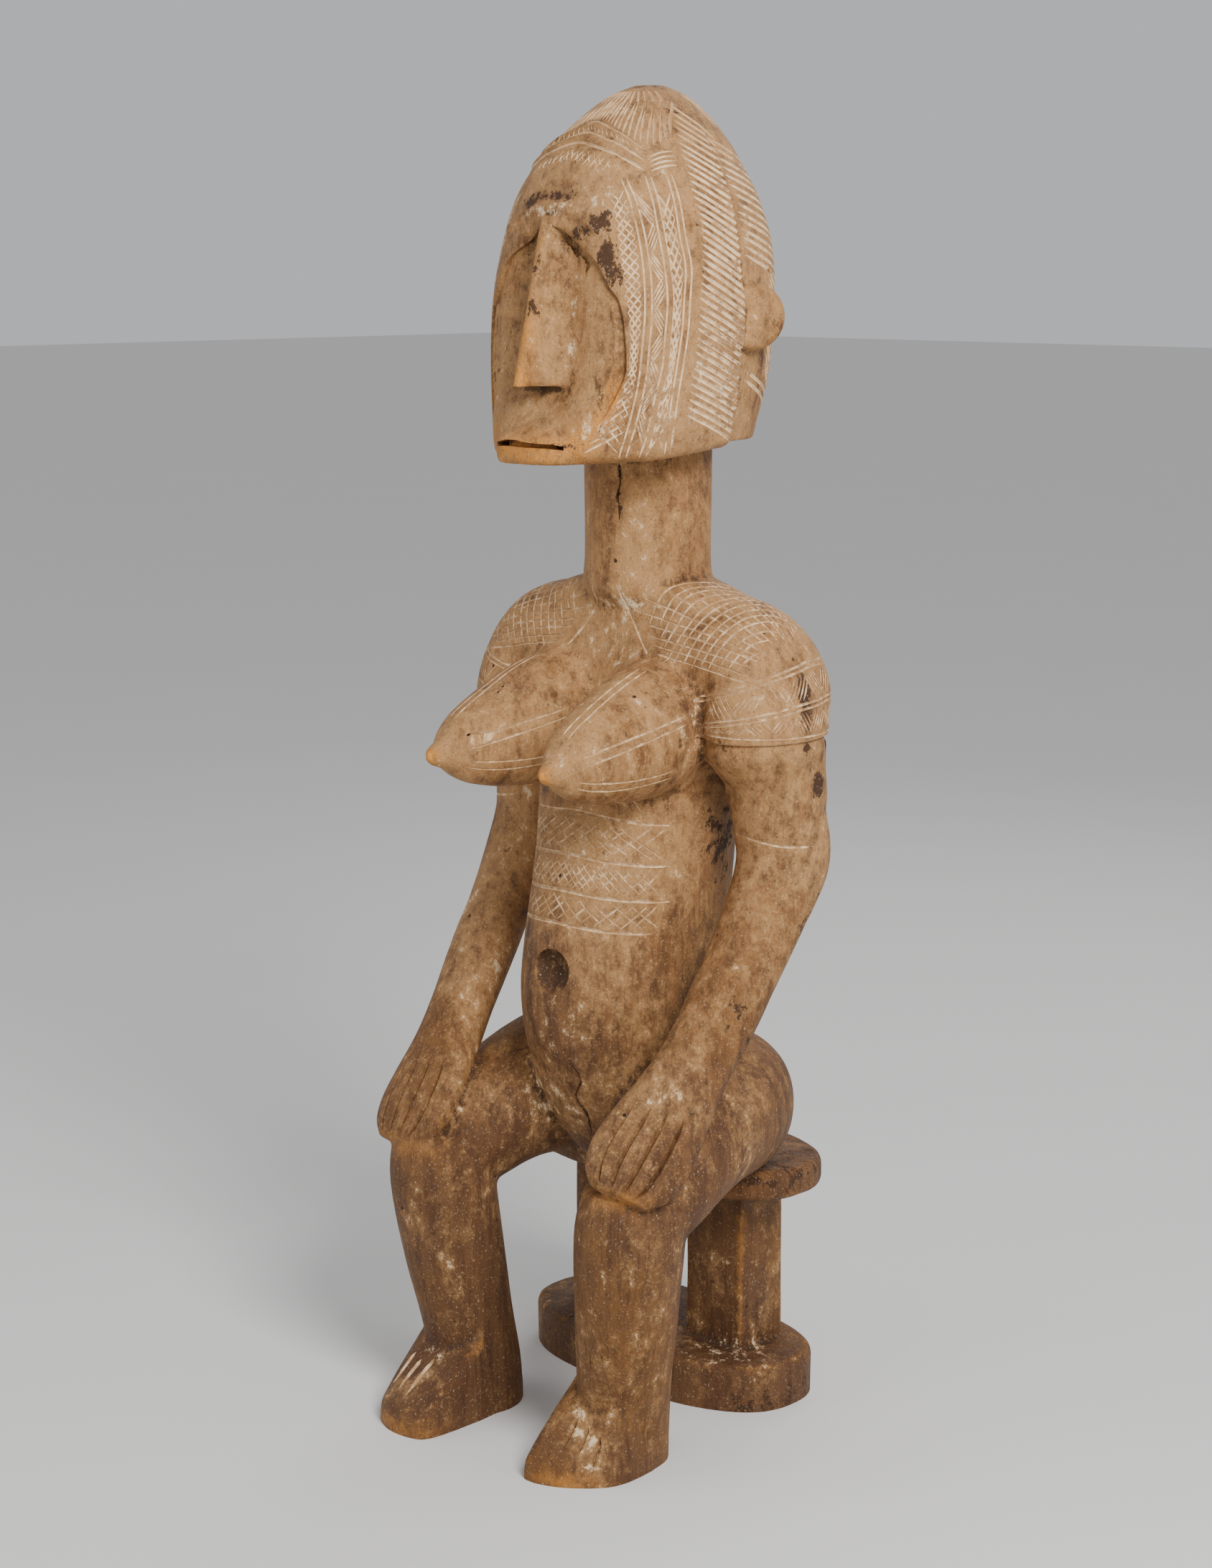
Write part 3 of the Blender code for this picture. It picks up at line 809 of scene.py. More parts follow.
def groove(line, width, depth, skew=0.0):
    """Corners and faces of a V-shaped cutter that runs out of the wood at both ends."""
    last = len(line) - 1
    left = (0.5 + skew) * width / depth
    right = (0.5 - skew) * width / depth
    corners = []
    for k, (p, n) in enumerate(line):
        along = line[min(k + 1, last)][0] - line[max(k - 1, 0)][0]
        normal = (line[max(k - 1, 0)][1] + n + line[min(k + 1, last)][1]).normalized()
        side = along.cross(normal).normalized()
        sink = depth * min(1.0, 0.12 + 0.55 * min(k, last - k))
        top = p + normal * CUT_RISE
        reach = side * (sink + CUT_RISE)
        corners += [p - normal * sink, top + reach * left, top - reach * right]
    faces = [(0, 1, 2)]
    for k in range(last):
        a = 3 * k
        for i in range(3):
            j = (i + 1) % 3
            faces.append((a + i, a + 3 + i, a + 3 + j, a + j))
    faces.append((3 * last + 2, 3 * last + 1, 3 * last))
    return corners, faces


class CutSet:
    """Grooves that don't meet each other, so that one cut can take them all."""

    def __init__(self, name):
        self.name = name
        self.corners = []
        self.faces = []
        self.path = []

    def add(self, line, width, depth, skew=0.0):
        if line is None:
            return
        corners, faces = groove(line, width, depth, skew)
        start = len(self.corners)
        self.corners += corners
        self.faces += [tuple(start + i for i in face) for face in faces]
        self.path += [p for p, _ in line]

    def cut(self, body):
        if not self.corners:
            return
        mesh = bpy.data.meshes.new(self.name)
        mesh.from_pydata(self.corners, [], self.faces)
        bm = bmesh.new()
        bm.from_mesh(mesh)
        bmesh.ops.triangulate(bm, faces=bm.faces)
        bmesh.ops.recalc_face_normals(bm, faces=bm.faces)
        bm.to_mesh(mesh)
        bm.free()
        subtract(body, place_object(self.name, mesh))


def spaced(low, high, gap, rng, wander):
    """Even places from low to high, each a little off as a hand sets them."""
    count = max(1, round(abs(high - low) / gap))
    return [lerp(low, high, (k + 0.5 + rng.uniform(-wander, wander)) / count) for k in range(count)]


# Patterns on her left side; the turn is in degrees, and borders read by height put the height first

RIM = [(4, 0.989), (13, 0.978), (26, 0.962), (32, 0.943), (36, 0.933), (38, 0.918), (39, 0.897),
       (39, 0.877), (36, 0.862), (33, 0.850), (30, 0.840)]
LATTICE_EDGE = [(0.811, 21), (0.832, 28), (0.845, 32), (0.860, 36), (0.877, 39), (0.897, 39.5),
                (0.918, 39), (0.943, 37), (0.966, 35), (0.990, 33), (1.010, 30), (1.030, 27)]
INNER_PAIR = [(0.812, 38), (0.831, 41), (0.854, 44), (0.875, 46), (0.896, 47), (0.919, 48), (0.944, 48),
              (0.966, 47), (0.987, 45), (1.008, 42), (1.025, 37)]
MIDDLE_PAIR = [(0.812, 46), (0.830, 49), (0.858, 52), (0.883, 55), (0.906, 56), (0.933, 57),
               (0.958, 56), (0.983, 54), (1.008, 52), (1.027, 49)]
OUTER_PAIR = [(0.814, 57), (0.855, 59), (0.881, 61), (0.908, 63), (0.933, 64), (0.958, 65),
              (0.983, 63), (1.008, 62), (1.029, 60)]
LOCK_START = [(0.816, 62), (0.845, 65), (0.870, 66), (0.897, 68), (0.929, 69), (0.960, 71),
              (0.991, 72), (1.008, 70), (1.033, 71), (1.055, 72), (1.070, 76), (1.086, 86)]
LOCK_END = [(0.816, 101), (0.853, 99), (0.918, 98), (0.971, 99), (1.000, 101), (1.028, 104),
            (1.060, 112), (1.086, 135)]
RIDGE_LINE = [(67, 0.818), (68, 0.845), (69, 0.870), (71, 0.897), (72, 0.929), (73, 0.960),
              (73, 0.991), (72, 1.020)]
HAIRLINE = [(-48, 1.034), (-35, 1.045), (-25, 1.050), (0, 1.057), (25, 1.050), (35, 1.045), (48, 1.034)]
CREST_FOOT = [(0, 1.0715), (14, 1.070), (30, 1.062), (44, 1.052), (56, 1.050), (70, 1.060)]
BROW = [(-33, 0.984), (-26, 0.992), (-16, 1.000), (0, 1.003), (14, 0.999), (22, 0.991), (28, 0.983)]


def on_edge(edge):
    """Address of a height on a pattern's border."""
    return lambda t: (read_off(edge, t), t)


def strokes(place, start, end, stops, lean):
    """Straight cuts from one border to another, leaning along the band."""
    return [trace(place, [start(t), end(t + lean)]) for t in stops]


def rim_cuts(side, places):
    """Step at the edge of the hollowed face, steep towards the hair and open to the cheek."""
    cuts = CutSet("rim")
    line = trace(places.head, [(side * turn, z) for turn, z in RIM], 0.004)
    cuts.add(line, 0.0150, 0.0038, 0.42 * side)
    return cuts


def hair_cuts(places, lines, rng):
    """Side locks, bands of lattice and zigzag, back locks and the strands of the crest."""
    one = CutSet("hair_one")
    two = CutSet("hair_two")
    fine = (lines.width, lines.depth)
    lock = (lines.lock_width, lines.lock_depth)
    for side in (-1, 1):
        def head(turn, z, side=side):
            return places.head(side * turn, z)
        for edge in (INNER_PAIR, MIDDLE_PAIR, OUTER_PAIR):
            for shift in (-1.35, 1.35):
                path = [(turn + shift, z) for z, turn in edge]
                one.add(trace(head, path), lines.width * 0.75, lines.depth)
        for gap, tilt, start, end in ((0.0072, 0.017, LATTICE_EDGE, INNER_PAIR),
                                      (0.0100, 0.022, MIDDLE_PAIR, OUTER_PAIR)):
            a = on_edge([(z, turn + 1.2) for z, turn in start])
            b = on_edge([(z, turn - 2.1) for z, turn in end])
            for cuts, lean in ((one, tilt), (two, -tilt)):
                low = 0.812 + max(0.0, -lean)
                high = 1.020 - max(0.0, lean)
                stops = spaced(low, high, gap, rng, lines.wander * 0.5)
                for line in strokes(head, a, b, stops, lean):
                    cuts.add(line, lines.width * 0.8, lines.depth)
        a = on_edge([(z, turn + 1.9) for z, turn in INNER_PAIR])
        b = on_edge([(z, turn - 1.9) for z, turn in MIDDLE_PAIR])
        for k, z in enumerate(spaced(0.826, 1.010, 0.020, rng, 0.08)):
            lean = 0.016 if k % 2 else -0.016
            for offset in (-0.0066, -0.0022, 0.0022, 0.0066):
                for line in strokes(head, a, b, [z + offset - lean / 2], lean):
                    (one if k % 2 else two).add(line, lines.width * 0.8, lines.depth * 1.1)
        for line in strokes(head, on_edge(LOCK_START), on_edge(LOCK_END),
                            spaced(0.842, 1.086, 0.0060, rng, lines.wander * 0.6), -0.026):
            one.add(line, *lock)
        for k in range(4):
            z = 1.030 + 0.0036 * k
            two.add(trace(head, [(50, z), (58, z + 0.004), (66, z + 0.005)]), *fine)
        for z in spaced(0.866, 1.060, 0.0070, rng, lines.wander * 0.6):
            steep = 0.022 + 0.010 * smoothstep(1.05, 0.9, z)
            start = 124 if 0.880 < z < 0.960 else 105
            path = [(start, z), (134, z - steep * 0.6), (154, z - steep), (175, z - steep * 1.15)]
            one.add(trace(head, [(t, max(h, 0.836)) for t, h in path], 0.006), *lock)
    for k, turn in enumerate(spaced(-70, 70, 4.4, rng, lines.wander * 0.4)):
        foot_z = read_off(CREST_FOOT, abs(turn))
        top = 1.0945 if k % 2 == 0 else 1.086
        middle = lerp(top, foot_z, 0.5)
        two.add(trace(places.head, [(turn * 1.35, top), (turn * 1.10, middle), (turn, foot_z)], 0.003),
                lines.lock_width * 0.85, lines.lock_depth)
    for turn in spaced(122, 238, 7.5, rng, lines.wander * 0.6):
        two.add(trace(places.head, [(turn, 1.093), (turn, 1.066)], 0.004), *lock)
    for shift in (-0.0036, 0.0042, 0.0128):
        one.add(trace(places.head, [(turn, z + shift) for turn, z in HAIRLINE]), *fine)
    for turn in spaced(-44, 44, 4.5, rng, lines.wander):
        z = read_off(HAIRLINE, turn)
        two.add(trace(places.head, [(turn, z + 0.0115), (turn + 3, z + 0.0050)], 0.002), 0.0014, 0.0007)
    for lean in (-1, 1):
        cuts = one if lean > 0 else two
        for turn in spaced(-30, 30, 4.5, rng, lines.wander):
            z = read_off(HAIRLINE, turn) - 0.0065
            path = [(turn - 3 * lean, z), (turn + 3 * lean, z - 0.013)]
            cuts.add(trace(places.head, path), 0.0013, 0.0006)
    return [one, two]


def shoulder_start(turn):
    """Where the shoulder's hatching starts: the edge of the plain chest panel, then the neck."""
    return read_off([(10, 0.055), (26, 0.040), (48, 0.022), (56, 0.050), (80, 0.056), (120, 0.058)], turn)


def shoulder_cuts(places, lines, rng):
    """Two families of hatching over each shoulder, and the chest panel's pale edges."""
    one = CutSet("shoulder_one")
    two = CutSet("shoulder_two")
    for side in (-1, 1):
        place = places.shoulder(side)
        one.add(trace(place, [(0.014, 52), (0.030, 36), (0.047, 17)]), lines.width * 1.3, lines.depth)
        for turn in spaced(12, 120, 6.8, rng, lines.wander * 0.7):
            end = 0.155 - 0.010 * rng.random()
            path = [(shoulder_start(turn) + 0.005, turn + 5), (0.095, turn),
                    (end, turn + rng.uniform(-12, -7))]
            one.add(trace(place, path, 0.0055), lines.width * 0.85, lines.depth)
        for x in spaced(-0.020, 0.190, 0.0088, rng, lines.wander * 0.7):
            path = [(x - 0.052 * k / 12, lerp(126, 12, k / 12)) for k in range(13)]
            path = [(u, turn) for u, turn in path if shoulder_start(turn) + 0.011 < u < 0.150]
            if len(path) > 2:
                two.add(trace(place, path, 0.0055), lines.width * 0.85, lines.depth)
    return [one, two]


UPPER_BAND = [(-34, 0.620), (10, 0.631), (41, 0.639), (74, 0.645), (118, 0.649), (175, 0.648)]
LOWER_BAND = [(-26, 0.600), (14, 0.607), (41, 0.612), (73, 0.617), (118, 0.620), (175, 0.620)]


def arm_cuts(places, lines, rng):
    """Double bands round the shoulder cap with zigzag hatching between them."""
    one = CutSet("arm_one")
    two = CutSet("arm_two")
    step = CutSet("cap_edge")
    for side in (-1, 1):
        place = places.arm(side)
        for band in (UPPER_BAND, LOWER_BAND):
            for shift in (-0.0019, 0.0019):
                one.add(trace(place, [(turn, z + shift) for turn, z in band]), lines.width, lines.depth)
        one.add(trace(place, [(turn, 0.5940) for turn in (-24, 30, 80, 130, 175)]), 0.0016, 0.0008)
        edge = [(-34, 0.590), (-10, 0.5875), (30, 0.588), (80, 0.589), (130, 0.590), (178, 0.590)]
        step.add(trace(place, edge), 0.0130, 0.0030, 0.40 * side)
        one.add(trace(place, [(-4, 0.511), (30, 0.508), (60, 0.505), (96, 0.504)]), 0.0018, 0.0006)
        rows = (
            (lambda t: read_off(LOWER_BAND, t) + 0.0045, lambda t: read_off(UPPER_BAND, t) - 0.0045, 27),
            (lambda t: 0.5965, lambda t: read_off(LOWER_BAND, t) - 0.0042, 22),
        )
        for low, high, width in rows:
            for k, turn in enumerate(spaced(-18, 172, width, rng, 0.05)):
                lean = width * (0.55 if k % 2 else -0.55)
                cuts = one if k % 2 else two
                for offset in (-0.40, -0.20, 0.0, 0.20, 0.40):
                    t = turn + offset * width
                    cuts.add(trace(place, [(t - lean / 2, low(t)), (t + lean / 2, high(t))], 0.004),
                             lines.width * 0.75, lines.depth)
    return [one, two, step]


def breast_cuts(places, lines, rng):
    """Pairs of lines that run out to the tip of each breast."""
    one = CutSet("breast_lines")
    for side in (-1, 1):
        place = places.breast(side)
        for turn, start in ((17, -0.062), (-33, -0.075), (84, -0.070), (163, -0.080), (208, -0.085)):
            for shift in (-4.0, 4.0):
                end = -0.160 - 0.004 * rng.random()
                path = [(turn + shift, start), (turn + shift * 1.2, -0.11), (turn + shift * 2, end)]
                one.add(trace(place, path), lines.width * 0.9, lines.depth * 0.9)
    return [one]


BELLY_LINES = [0.521, 0.487, 0.458, 0.432]


def belly_cuts(places, lines, rng):
    """Four lines across the belly with hatching between them."""
    one = CutSet("belly_one")
    two = CutSet("belly_two")
    for k, z in enumerate(BELLY_LINES):
        reach = (60, 58, 60, 50)[k]
        path = [(t, z - 0.006 * abs(t) / 60) for t in (-reach, -30, 0, 30, reach)]
        one.add(trace(places.trunk, path), lines.width * 1.35, lines.depth * 1.3)
    bands = ((0.521, 0.487, 9.0, 9.0, 26), (0.487, 0.458, 5.0, 5.0, 14), (0.458, 0.432, 6.5, 9.5, 14))
    for high, low, gap_one, gap_two, lean in bands:
        for cuts, gap, slant in ((one, gap_one, lean), (two, gap_two, -lean)):
            for t in spaced(-50, 50, gap, rng, lines.wander):
                drop = 0.006 * abs(t) / 60
                cuts.add(trace(places.trunk, [(t - slant / 2, low + 0.0036 - drop),
                                              (t + slant / 2, high - 0.0036 - drop)]),
                         lines.width * 0.85, lines.depth)
    for t in (4, 11, 30, 37, 44):
        slant = 9 if t < 20 else -9
        one.add(trace(places.trunk, [(t, 0.5255), (t + slant, 0.544)]), lines.width, lines.depth)
    return [one, two]


def hand_cuts(side, places):
    """Grooves between the fingers of one hand, down its back and over the tips."""
    path = catmull(lower_arm_path(side)[6:], 8)
    cuts = CutSet("fingers")
    for share in (-0.58, -0.20, 0.18, 0.55):
        line = []
        for k, (x, y, z, across, thick) in enumerate(path[5:-2]):
            along = (Vector(path[k + 6][:3]) - Vector(path[k + 4][:3])).normalized()
            wide = (Vector((1, 0, 0)) - along * along.x).normalized()
            deep = along.cross(wide)
            u, v = turned((across * share, thick * math.sqrt(1.0 - share * share)), arm_twist(side))
            out = (wide * u + deep * v)
            p = Vector((x, y, z)) + out
            p.x *= side
            out.x *= side
            spot, normal, _, _ = places.tree.find_nearest(p * UNIT)
            line.append((spot, normal))
        cuts.add(line[::2], 0.0040, 0.0036)
    return cuts


def toe_cuts(side, places):
    """Three grooves between the outer toes, laid on the top of the foot."""
    reach = -0.208 if side < 0 else -0.196
    cuts = CutSet("toes")
    for share in (0.36, 0.57, 0.78):
        line = []
        for t in [k / 6 for k in range(7)]:
            x = lerp(0.062, 0.122, share) + 0.003 * t
            y = lerp(-0.166, reach + 0.020 * share, t)
            line.append(places.down(x * side, y))
        cuts.add(line, 0.0044, 0.0034)
    return cuts


CRACKS = [
    ("neck", [(22, 0.804), (24, 0.790), (21, 0.776), (23, 0.764)]),
    ("head", [(-18, 1.070), (2, 1.073), (20, 1.079), (38, 1.083)]),
    ("trunk", [(9, 0.318), (13, 0.302), (8, 0.285), (12, 0.268), (10, 0.250)]),
]


def split_cuts(places):
    """Drying splits along the grain."""
    cuts = CutSet("splits")
    for where, controls in CRACKS:
        place = places.trunk if where == "trunk" else places.head
        cuts.add(trace(place, controls, 0.004), 0.0013, 0.0026)
    return cuts


def mouth_slot():
    """Slot between the lips, bent round the front of the chin and raised in the middle."""
    arc = []
    for grow in (0.012, -0.008):
        row = []
        for i in range(-14, 15):
            x, y = super_point(-math.pi / 2 + i * 0.0525, 0.048 + grow, 0.079 + grow, 2.8)
            row.append((x, -0.070 + y, math.cos(i / 14 * math.pi / 2)))
        arc.append(row)
    outline = arc[0] + list(reversed(arc[1]))
    rings = []
    for z, lift in ((0.8176, 0.0022), (0.8206, 0.0044)):
        rings.append([Vector((x, y, z + lift * middle)) * UNIT for x, y, middle in outline])
    return skin("mouth", rings)


# Form

def wander_surface(obj, amount):
    """Shallow knife facets and a slow unevenness over the whole skin."""
    mesh = obj.data
    moved = coordinates(mesh)
    for i, v in enumerate(mesh.vertices):
        p = v.co
        slow = noise.noise(p * 17.0)
        facet = noise.voronoi(Vector((p.x * 60.0, p.y * 60.0, p.z * 26.0)))[0][0]
        moved[i] += np.array(v.normal) * amount * (slow + 0.55 * (facet - 0.5))
    mesh.vertices.foreach_set("co", moved.ravel())
    mesh.update()


def roundness(obj):
    """How far each point of an even skin stands out of its neighbours, eased, in millimetres."""
    mesh = obj.data
    co = coordinates(mesh)
    edges = np.empty(len(mesh.edges) * 2, int)
    mesh.edges.foreach_get("vertices", edges)
    a, b = edges.reshape(-1, 2).T
    count = np.bincount(a, minlength=len(co)) + np.bincount(b, minlength=len(co))
    normals = np.empty(len(co) * 3)
    mesh.vertices.foreach_get("normal", normals)

    def around(values):
        total = np.bincount(a, values[b], len(co)) + np.bincount(b, values[a], len(co))
        return total / np.maximum(count, 1)

    mean = np.stack([around(co[:, k]) for k in range(3)], axis=1)
    stand = ((co - mean) * normals.reshape(-1, 3)).sum(axis=1) * 1000.0
    for _ in range(EASE_ROUNDS):
        stand = 0.5 * stand + 0.5 * around(stand)
    return co, stand


def flatten_floor(obj):
    """Cut everything below the floor so the soles and the base share one plane."""
    bm = bmesh.new()
    bm.from_mesh(obj.data)
    cut = bmesh.ops.bisect_plane(bm, geom=bm.verts[:] + bm.edges[:] + bm.faces[:],
                                 plane_co=(0, 0, 0), plane_no=(0, 0, -1), clear_outer=True)
    rim = [e for e in cut["geom_cut"] if isinstance(e, bmesh.types.BMEdge)]
    bmesh.ops.holes_fill(bm, edges=rim, sides=0)
    for v in bm.verts:
        if abs(v.co.z) < 1e-6:
            v.co.z = 0.0
    bmesh.ops.triangulate(bm, faces=bm.faces)
    bmesh.ops.recalc_face_normals(bm, faces=bm.faces)
    bm.to_mesh(obj.data)
    bm.free()


HOLLOWS = [
    ((0.000, -0.120, 0.389), (0.022, 0.0135, 0.025), -0.62),
    ((0.102, -0.008, 0.054), (0.032, 0.016, 0.015), 0.3),
    ((0.119, 0.062, 0.050), (0.012, 0.020, 0.012), 0.0),
    ((-0.150, 0.020, 0.052), (0.022, 0.018, 0.013), 0.2),
    ((0.128, 0.030, 0.186), (0.014, 0.018, 0.006), 0.0),
    ((0.006, -0.022, 1.108), (0.024, 0.018, 0.0115), 0.0),
    ((0.070, 0.132, 0.216), (0.024, 0.010, 0.008), 0.0),
    ((-0.024, -0.113, 1.0130), (0.0032, 0.0060, 0.0026), 0.0),
    ((-0.014, -0.114, 1.0165), (0.0040, 0.0060, 0.0022), 0.0),
    ((-0.005, -0.114, 1.0150), (0.0030, 0.0060, 0.0030), 0.0),
    ((0.004, -0.114, 1.0180), (0.0046, 0.0060, 0.0022), 0.0),
    ((0.014, -0.114, 1.0155), (0.0030, 0.0060, 0.0026), 0.0),
    ((0.023, -0.112, 1.0130), (0.0036, 0.0060, 0.0020), 0.0),
]


def build_form(form):
    """One even skin over every body form, with its larger hollows scooped out."""
    soft = [torso(), yoke()]
    for side in (-1, 1):
        soft.extend([breast(side), upper_arm(side), lower_arm(side)])
        soft.extend(leg(side))
    head = helmet()
    parts = raised_lines(head)
    parts.extend([head, back_hair(), nose(), chin(), neck()])
    parts.append(fuse(soft, "body", form.voxel * UNIT, SOFT_ROUNDS))
    for side in (-1, 1):
        parts.extend([ear(side), shoulder_cap(side), hand(side), foot(side)])
    parts.extend(stool())
    figure = fuse(parts, "carved_figure", form.voxel * UNIT, CRISP_ROUNDS)
    hollows = [egg("hollow", *hollow) for hollow in HOLLOWS]
    subtract(figure, join(hollows, "hollows"))
    return figure


def thin(obj, limit):
    count = sum(len(p.vertices) - 2 for p in obj.data.polygons)
    if count > limit:
        apply_modifier(obj, "DECIMATE", ratio=limit / count, use_collapse_triangulate=True)


# Finish

def soft_spot(co, centre, radii):
    """1 at the centre of a soft ellipsoid, falling to 0 past its radii."""
    d = ((co / UNIT - np.array(centre)) / np.array(radii))
    return np.exp(-(d * d).sum(axis=1))


WORN = [
    ((0.0, -0.144, 0.816), (0.052, 0.013, 0.012), 1.1),
    ((0.046, -0.120, 0.822), (0.012, 0.020, 0.014), 0.9),
    ((-0.046, -0.120, 0.822), (0.012, 0.020, 0.014), 0.9),
    ((0.068, -0.110, 0.858), (0.006, 0.014, 0.020), 0.8),
    ((0.058, -0.117, 0.838), (0.007, 0.014, 0.010), 0.9),
    ((-0.068, -0.110, 0.858), (0.006, 0.014, 0.020), 0.8),
    ((0.0, -0.152, 0.871), (0.012, 0.008, 0.012), 1.1),
    ((0.0, -0.140, 0.915), (0.006, 0.010, 0.045), 0.6),
    ((0.064, -0.190, 0.571), (0.008, 0.006, 0.008), 2.2),
    ((-0.064, -0.190, 0.571), (0.008, 0.006, 0.008), 2.2),
    ((0.128, -0.168, 0.240), (0.045, 0.008, 0.009), 0.4),
    ((-0.128, -0.170, 0.230), (0.045, 0.008, 0.009), 0.35),
    ((0.095, -0.195, 0.004), (0.045, 0.020, 0.008), 0.5),
    ((-0.095, -0.208, 0.004), (0.045, 0.020, 0.008), 0.5),
]
STAINS_AND_SHADE = [
    ((0.030, -0.112, 0.984), (0.010, 0.012, 0.006), 1.0),
    ((0.047, -0.105, 0.992), (0.009, 0.012, 0.009), 1.1),
    ((0.056, -0.108, 0.966), (0.008, 0.012, 0.011), 1.1),
    ((0.063, -0.107, 0.950), (0.007, 0.012, 0.008), 0.9),
    ((0.004, -0.138, 0.928), (0.005, 0.010, 0.010), 0.9),
    # These three darken the mouth slot and its corners.
    ((0.000, -0.136, 0.8235), (0.026, 0.009, 0.0022), 1.1),
    ((0.030, -0.130, 0.8205), (0.014, 0.010, 0.0020), 1.0),
    ((-0.030, -0.130, 0.8205), (0.014, 0.010, 0.0020), 1.0),
    ((0.002, -0.134, 0.955), (0.004, 0.010, 0.018), 0.7),
    ((0.000, -0.108, 1.013), (0.030, 0.012, 0.005), 0.9),
    ((-0.030, -0.106, 1.006), (0.012, 0.012, 0.006), 0.9),
    ((0.050, -0.020, 1.080), (0.010, 0.010, 0.006), 1.0),
    ((0.174, 0.014, 0.553), (0.012, 0.007, 0.007), 2.0),
    ((0.170, -0.004, 0.615), (0.014, 0.007, 0.032), 1.3),
    # Painted shade between the left arm and the torso, partly a real dark stain.
    ((0.086, 0.000, 0.500), (0.012, 0.030, 0.050), 0.55),
    ((0.085, 0.040, 0.440), (0.014, 0.030, 0.070), 0.5),
    ((0.160, 0.000, 0.440), (0.016, 0.016, 0.060), 0.7),
    ((0.160, -0.060, 0.350), (0.010, 0.020, 0.050), 0.7),
    ((0.100, 0.060, 0.205), (0.050, 0.080, 0.014), 0.6),
    ((0.100, 0.040, 0.006), (0.060, 0.080, 0.018), 0.6),
    ((-0.130, 0.060, 0.205), (0.040, 0.080, 0.014), 0.6),
    ((-0.172, 0.010, 0.570), (0.010, 0.020, 0.020), 0.9),
    ((-0.060, 0.090, 0.960), (0.030, 0.030, 0.030), 0.6),
    ((0.020, 0.080, 0.330), (0.030, 0.030, 0.050), 0.6),
]
PALE = [
    ((0.000, -0.114, 1.001), (0.034, 0.014, 0.005), 1.2),
    ((0.026, -0.118, 0.920), (0.004, 0.020, 0.030), 0.9),
    ((0.060, -0.100, 0.836), (0.014, 0.030, 0.014), 0.9),
    ((0.020, -0.048, 0.690), (0.034, 0.016, 0.005), 1.1),
    ((0.030, -0.060, 0.660), (0.040, 0.020, 0.020), 0.6),
    ((0.105, -0.055, 0.600), (0.014, 0.020, 0.020), 0.9),
    ((0.010, -0.110, 0.340), (0.030, 0.020, 0.040), 0.6),
    ((0.095, -0.140, 0.180), (0.030, 0.040, 0.040), 0.5),
    ((-0.060, -0.060, 0.270), (0.040, 0.040, 0.020), 0.7),
    ((-0.090, -0.168, 0.055), (0.030, 0.010, 0.008), 0.7),
    ((0.070, 0.030, 0.044), (0.050, 0.030, 0.008), 0.8),
    ((0.060, 0.040, 0.110), (0.006, 0.006, 0.050), 0.5),
]
DARK = [
    ((0.000, 0.000, 0.770), (0.090, 0.090, 0.045), 1.3),
    ((0.000, -0.050, 0.640), (0.028, 0.040, 0.050), 1.0),
    ((0.080, 0.000, 0.450), (0.020, 0.060, 0.090), 1.0),
    ((0.100, -0.020, 0.250), (0.060, 0.060, 0.050), 0.8),
    ((-0.100, 0.000, 0.600), (0.060, 0.090, 0.060), 0.7),
]


def nearest_points(points):
    tree = kdtree.KDTree(len(points))
    for i, p in enumerate(points):
        tree.insert(p, i)
    tree.balance()
    return tree


def measure_finish(obj, skin_points, stand, cut_tree, split_tree):
    """Point values for the material: worn, stain and shade (stains, burns and some painted shade between
    the left arm and the body), pale, edge and the smear round the cuts.
    """
    mesh = obj.data
    co = coordinates(mesh)
    worn = sum(soft_spot(co, c, r) * s for c, r, s in WORN)
    stain_and_shade = sum(soft_spot(co, c, r) * s for c, r, s in STAINS_AND_SHADE)
    pale = sum(soft_spot(co, c, r) * s for c, r, s in PALE)
    skin_tree = nearest_points(skin_points)
    edge = np.empty(len(co))
    smear = np.empty(len(co))
    for i, p in enumerate(co):
        edge[i] = stand[skin_tree.find(p)[1]]
        smear[i] = math.exp(-(cut_tree.find(p)[2] / 0.0045) ** 2)
        stain_and_shade[i] += 0.85 * math.exp(-(split_tree.find(p)[2] / 0.0014) ** 2)
    smear -= sum(soft_spot(co, c, r) * s for c, r, s in DARK)
    for name, values in (("worn", worn), ("stain_and_shade", stain_and_shade), ("pale", pale), ("edge", edge),
                         ("smear", smear)):
        layer = mesh.attributes.new(name, "FLOAT", "POINT")
        layer.data.foreach_set("value", values.astype(np.float32))


CUT_SINK = 0.00018
CUT_FACING = 0.97
CUT_REACH = 0.0042
CUT_FACE_AREA = 0.000018


def mark_cuts(obj, tree, cut_tree):
    """Faces of the incised lines, below the uncut skin, take the second material."""
    mesh = obj.data
    marks = np.zeros(len(mesh.polygons), int)
    for i, p in enumerate(mesh.polygons):
        spot, normal, _, distance = tree.find_nearest(p.center)
        sunk = distance > CUT_SINK and abs(p.normal.dot(normal)) < CUT_FACING and p.area < CUT_FACE_AREA
        if sunk and max(cut_tree.find(mesh.vertices[v].co)[2] for v in p.vertices) < CUT_REACH:
            marks[i] = 1
    mesh.polygons.foreach_set("material_index", marks)


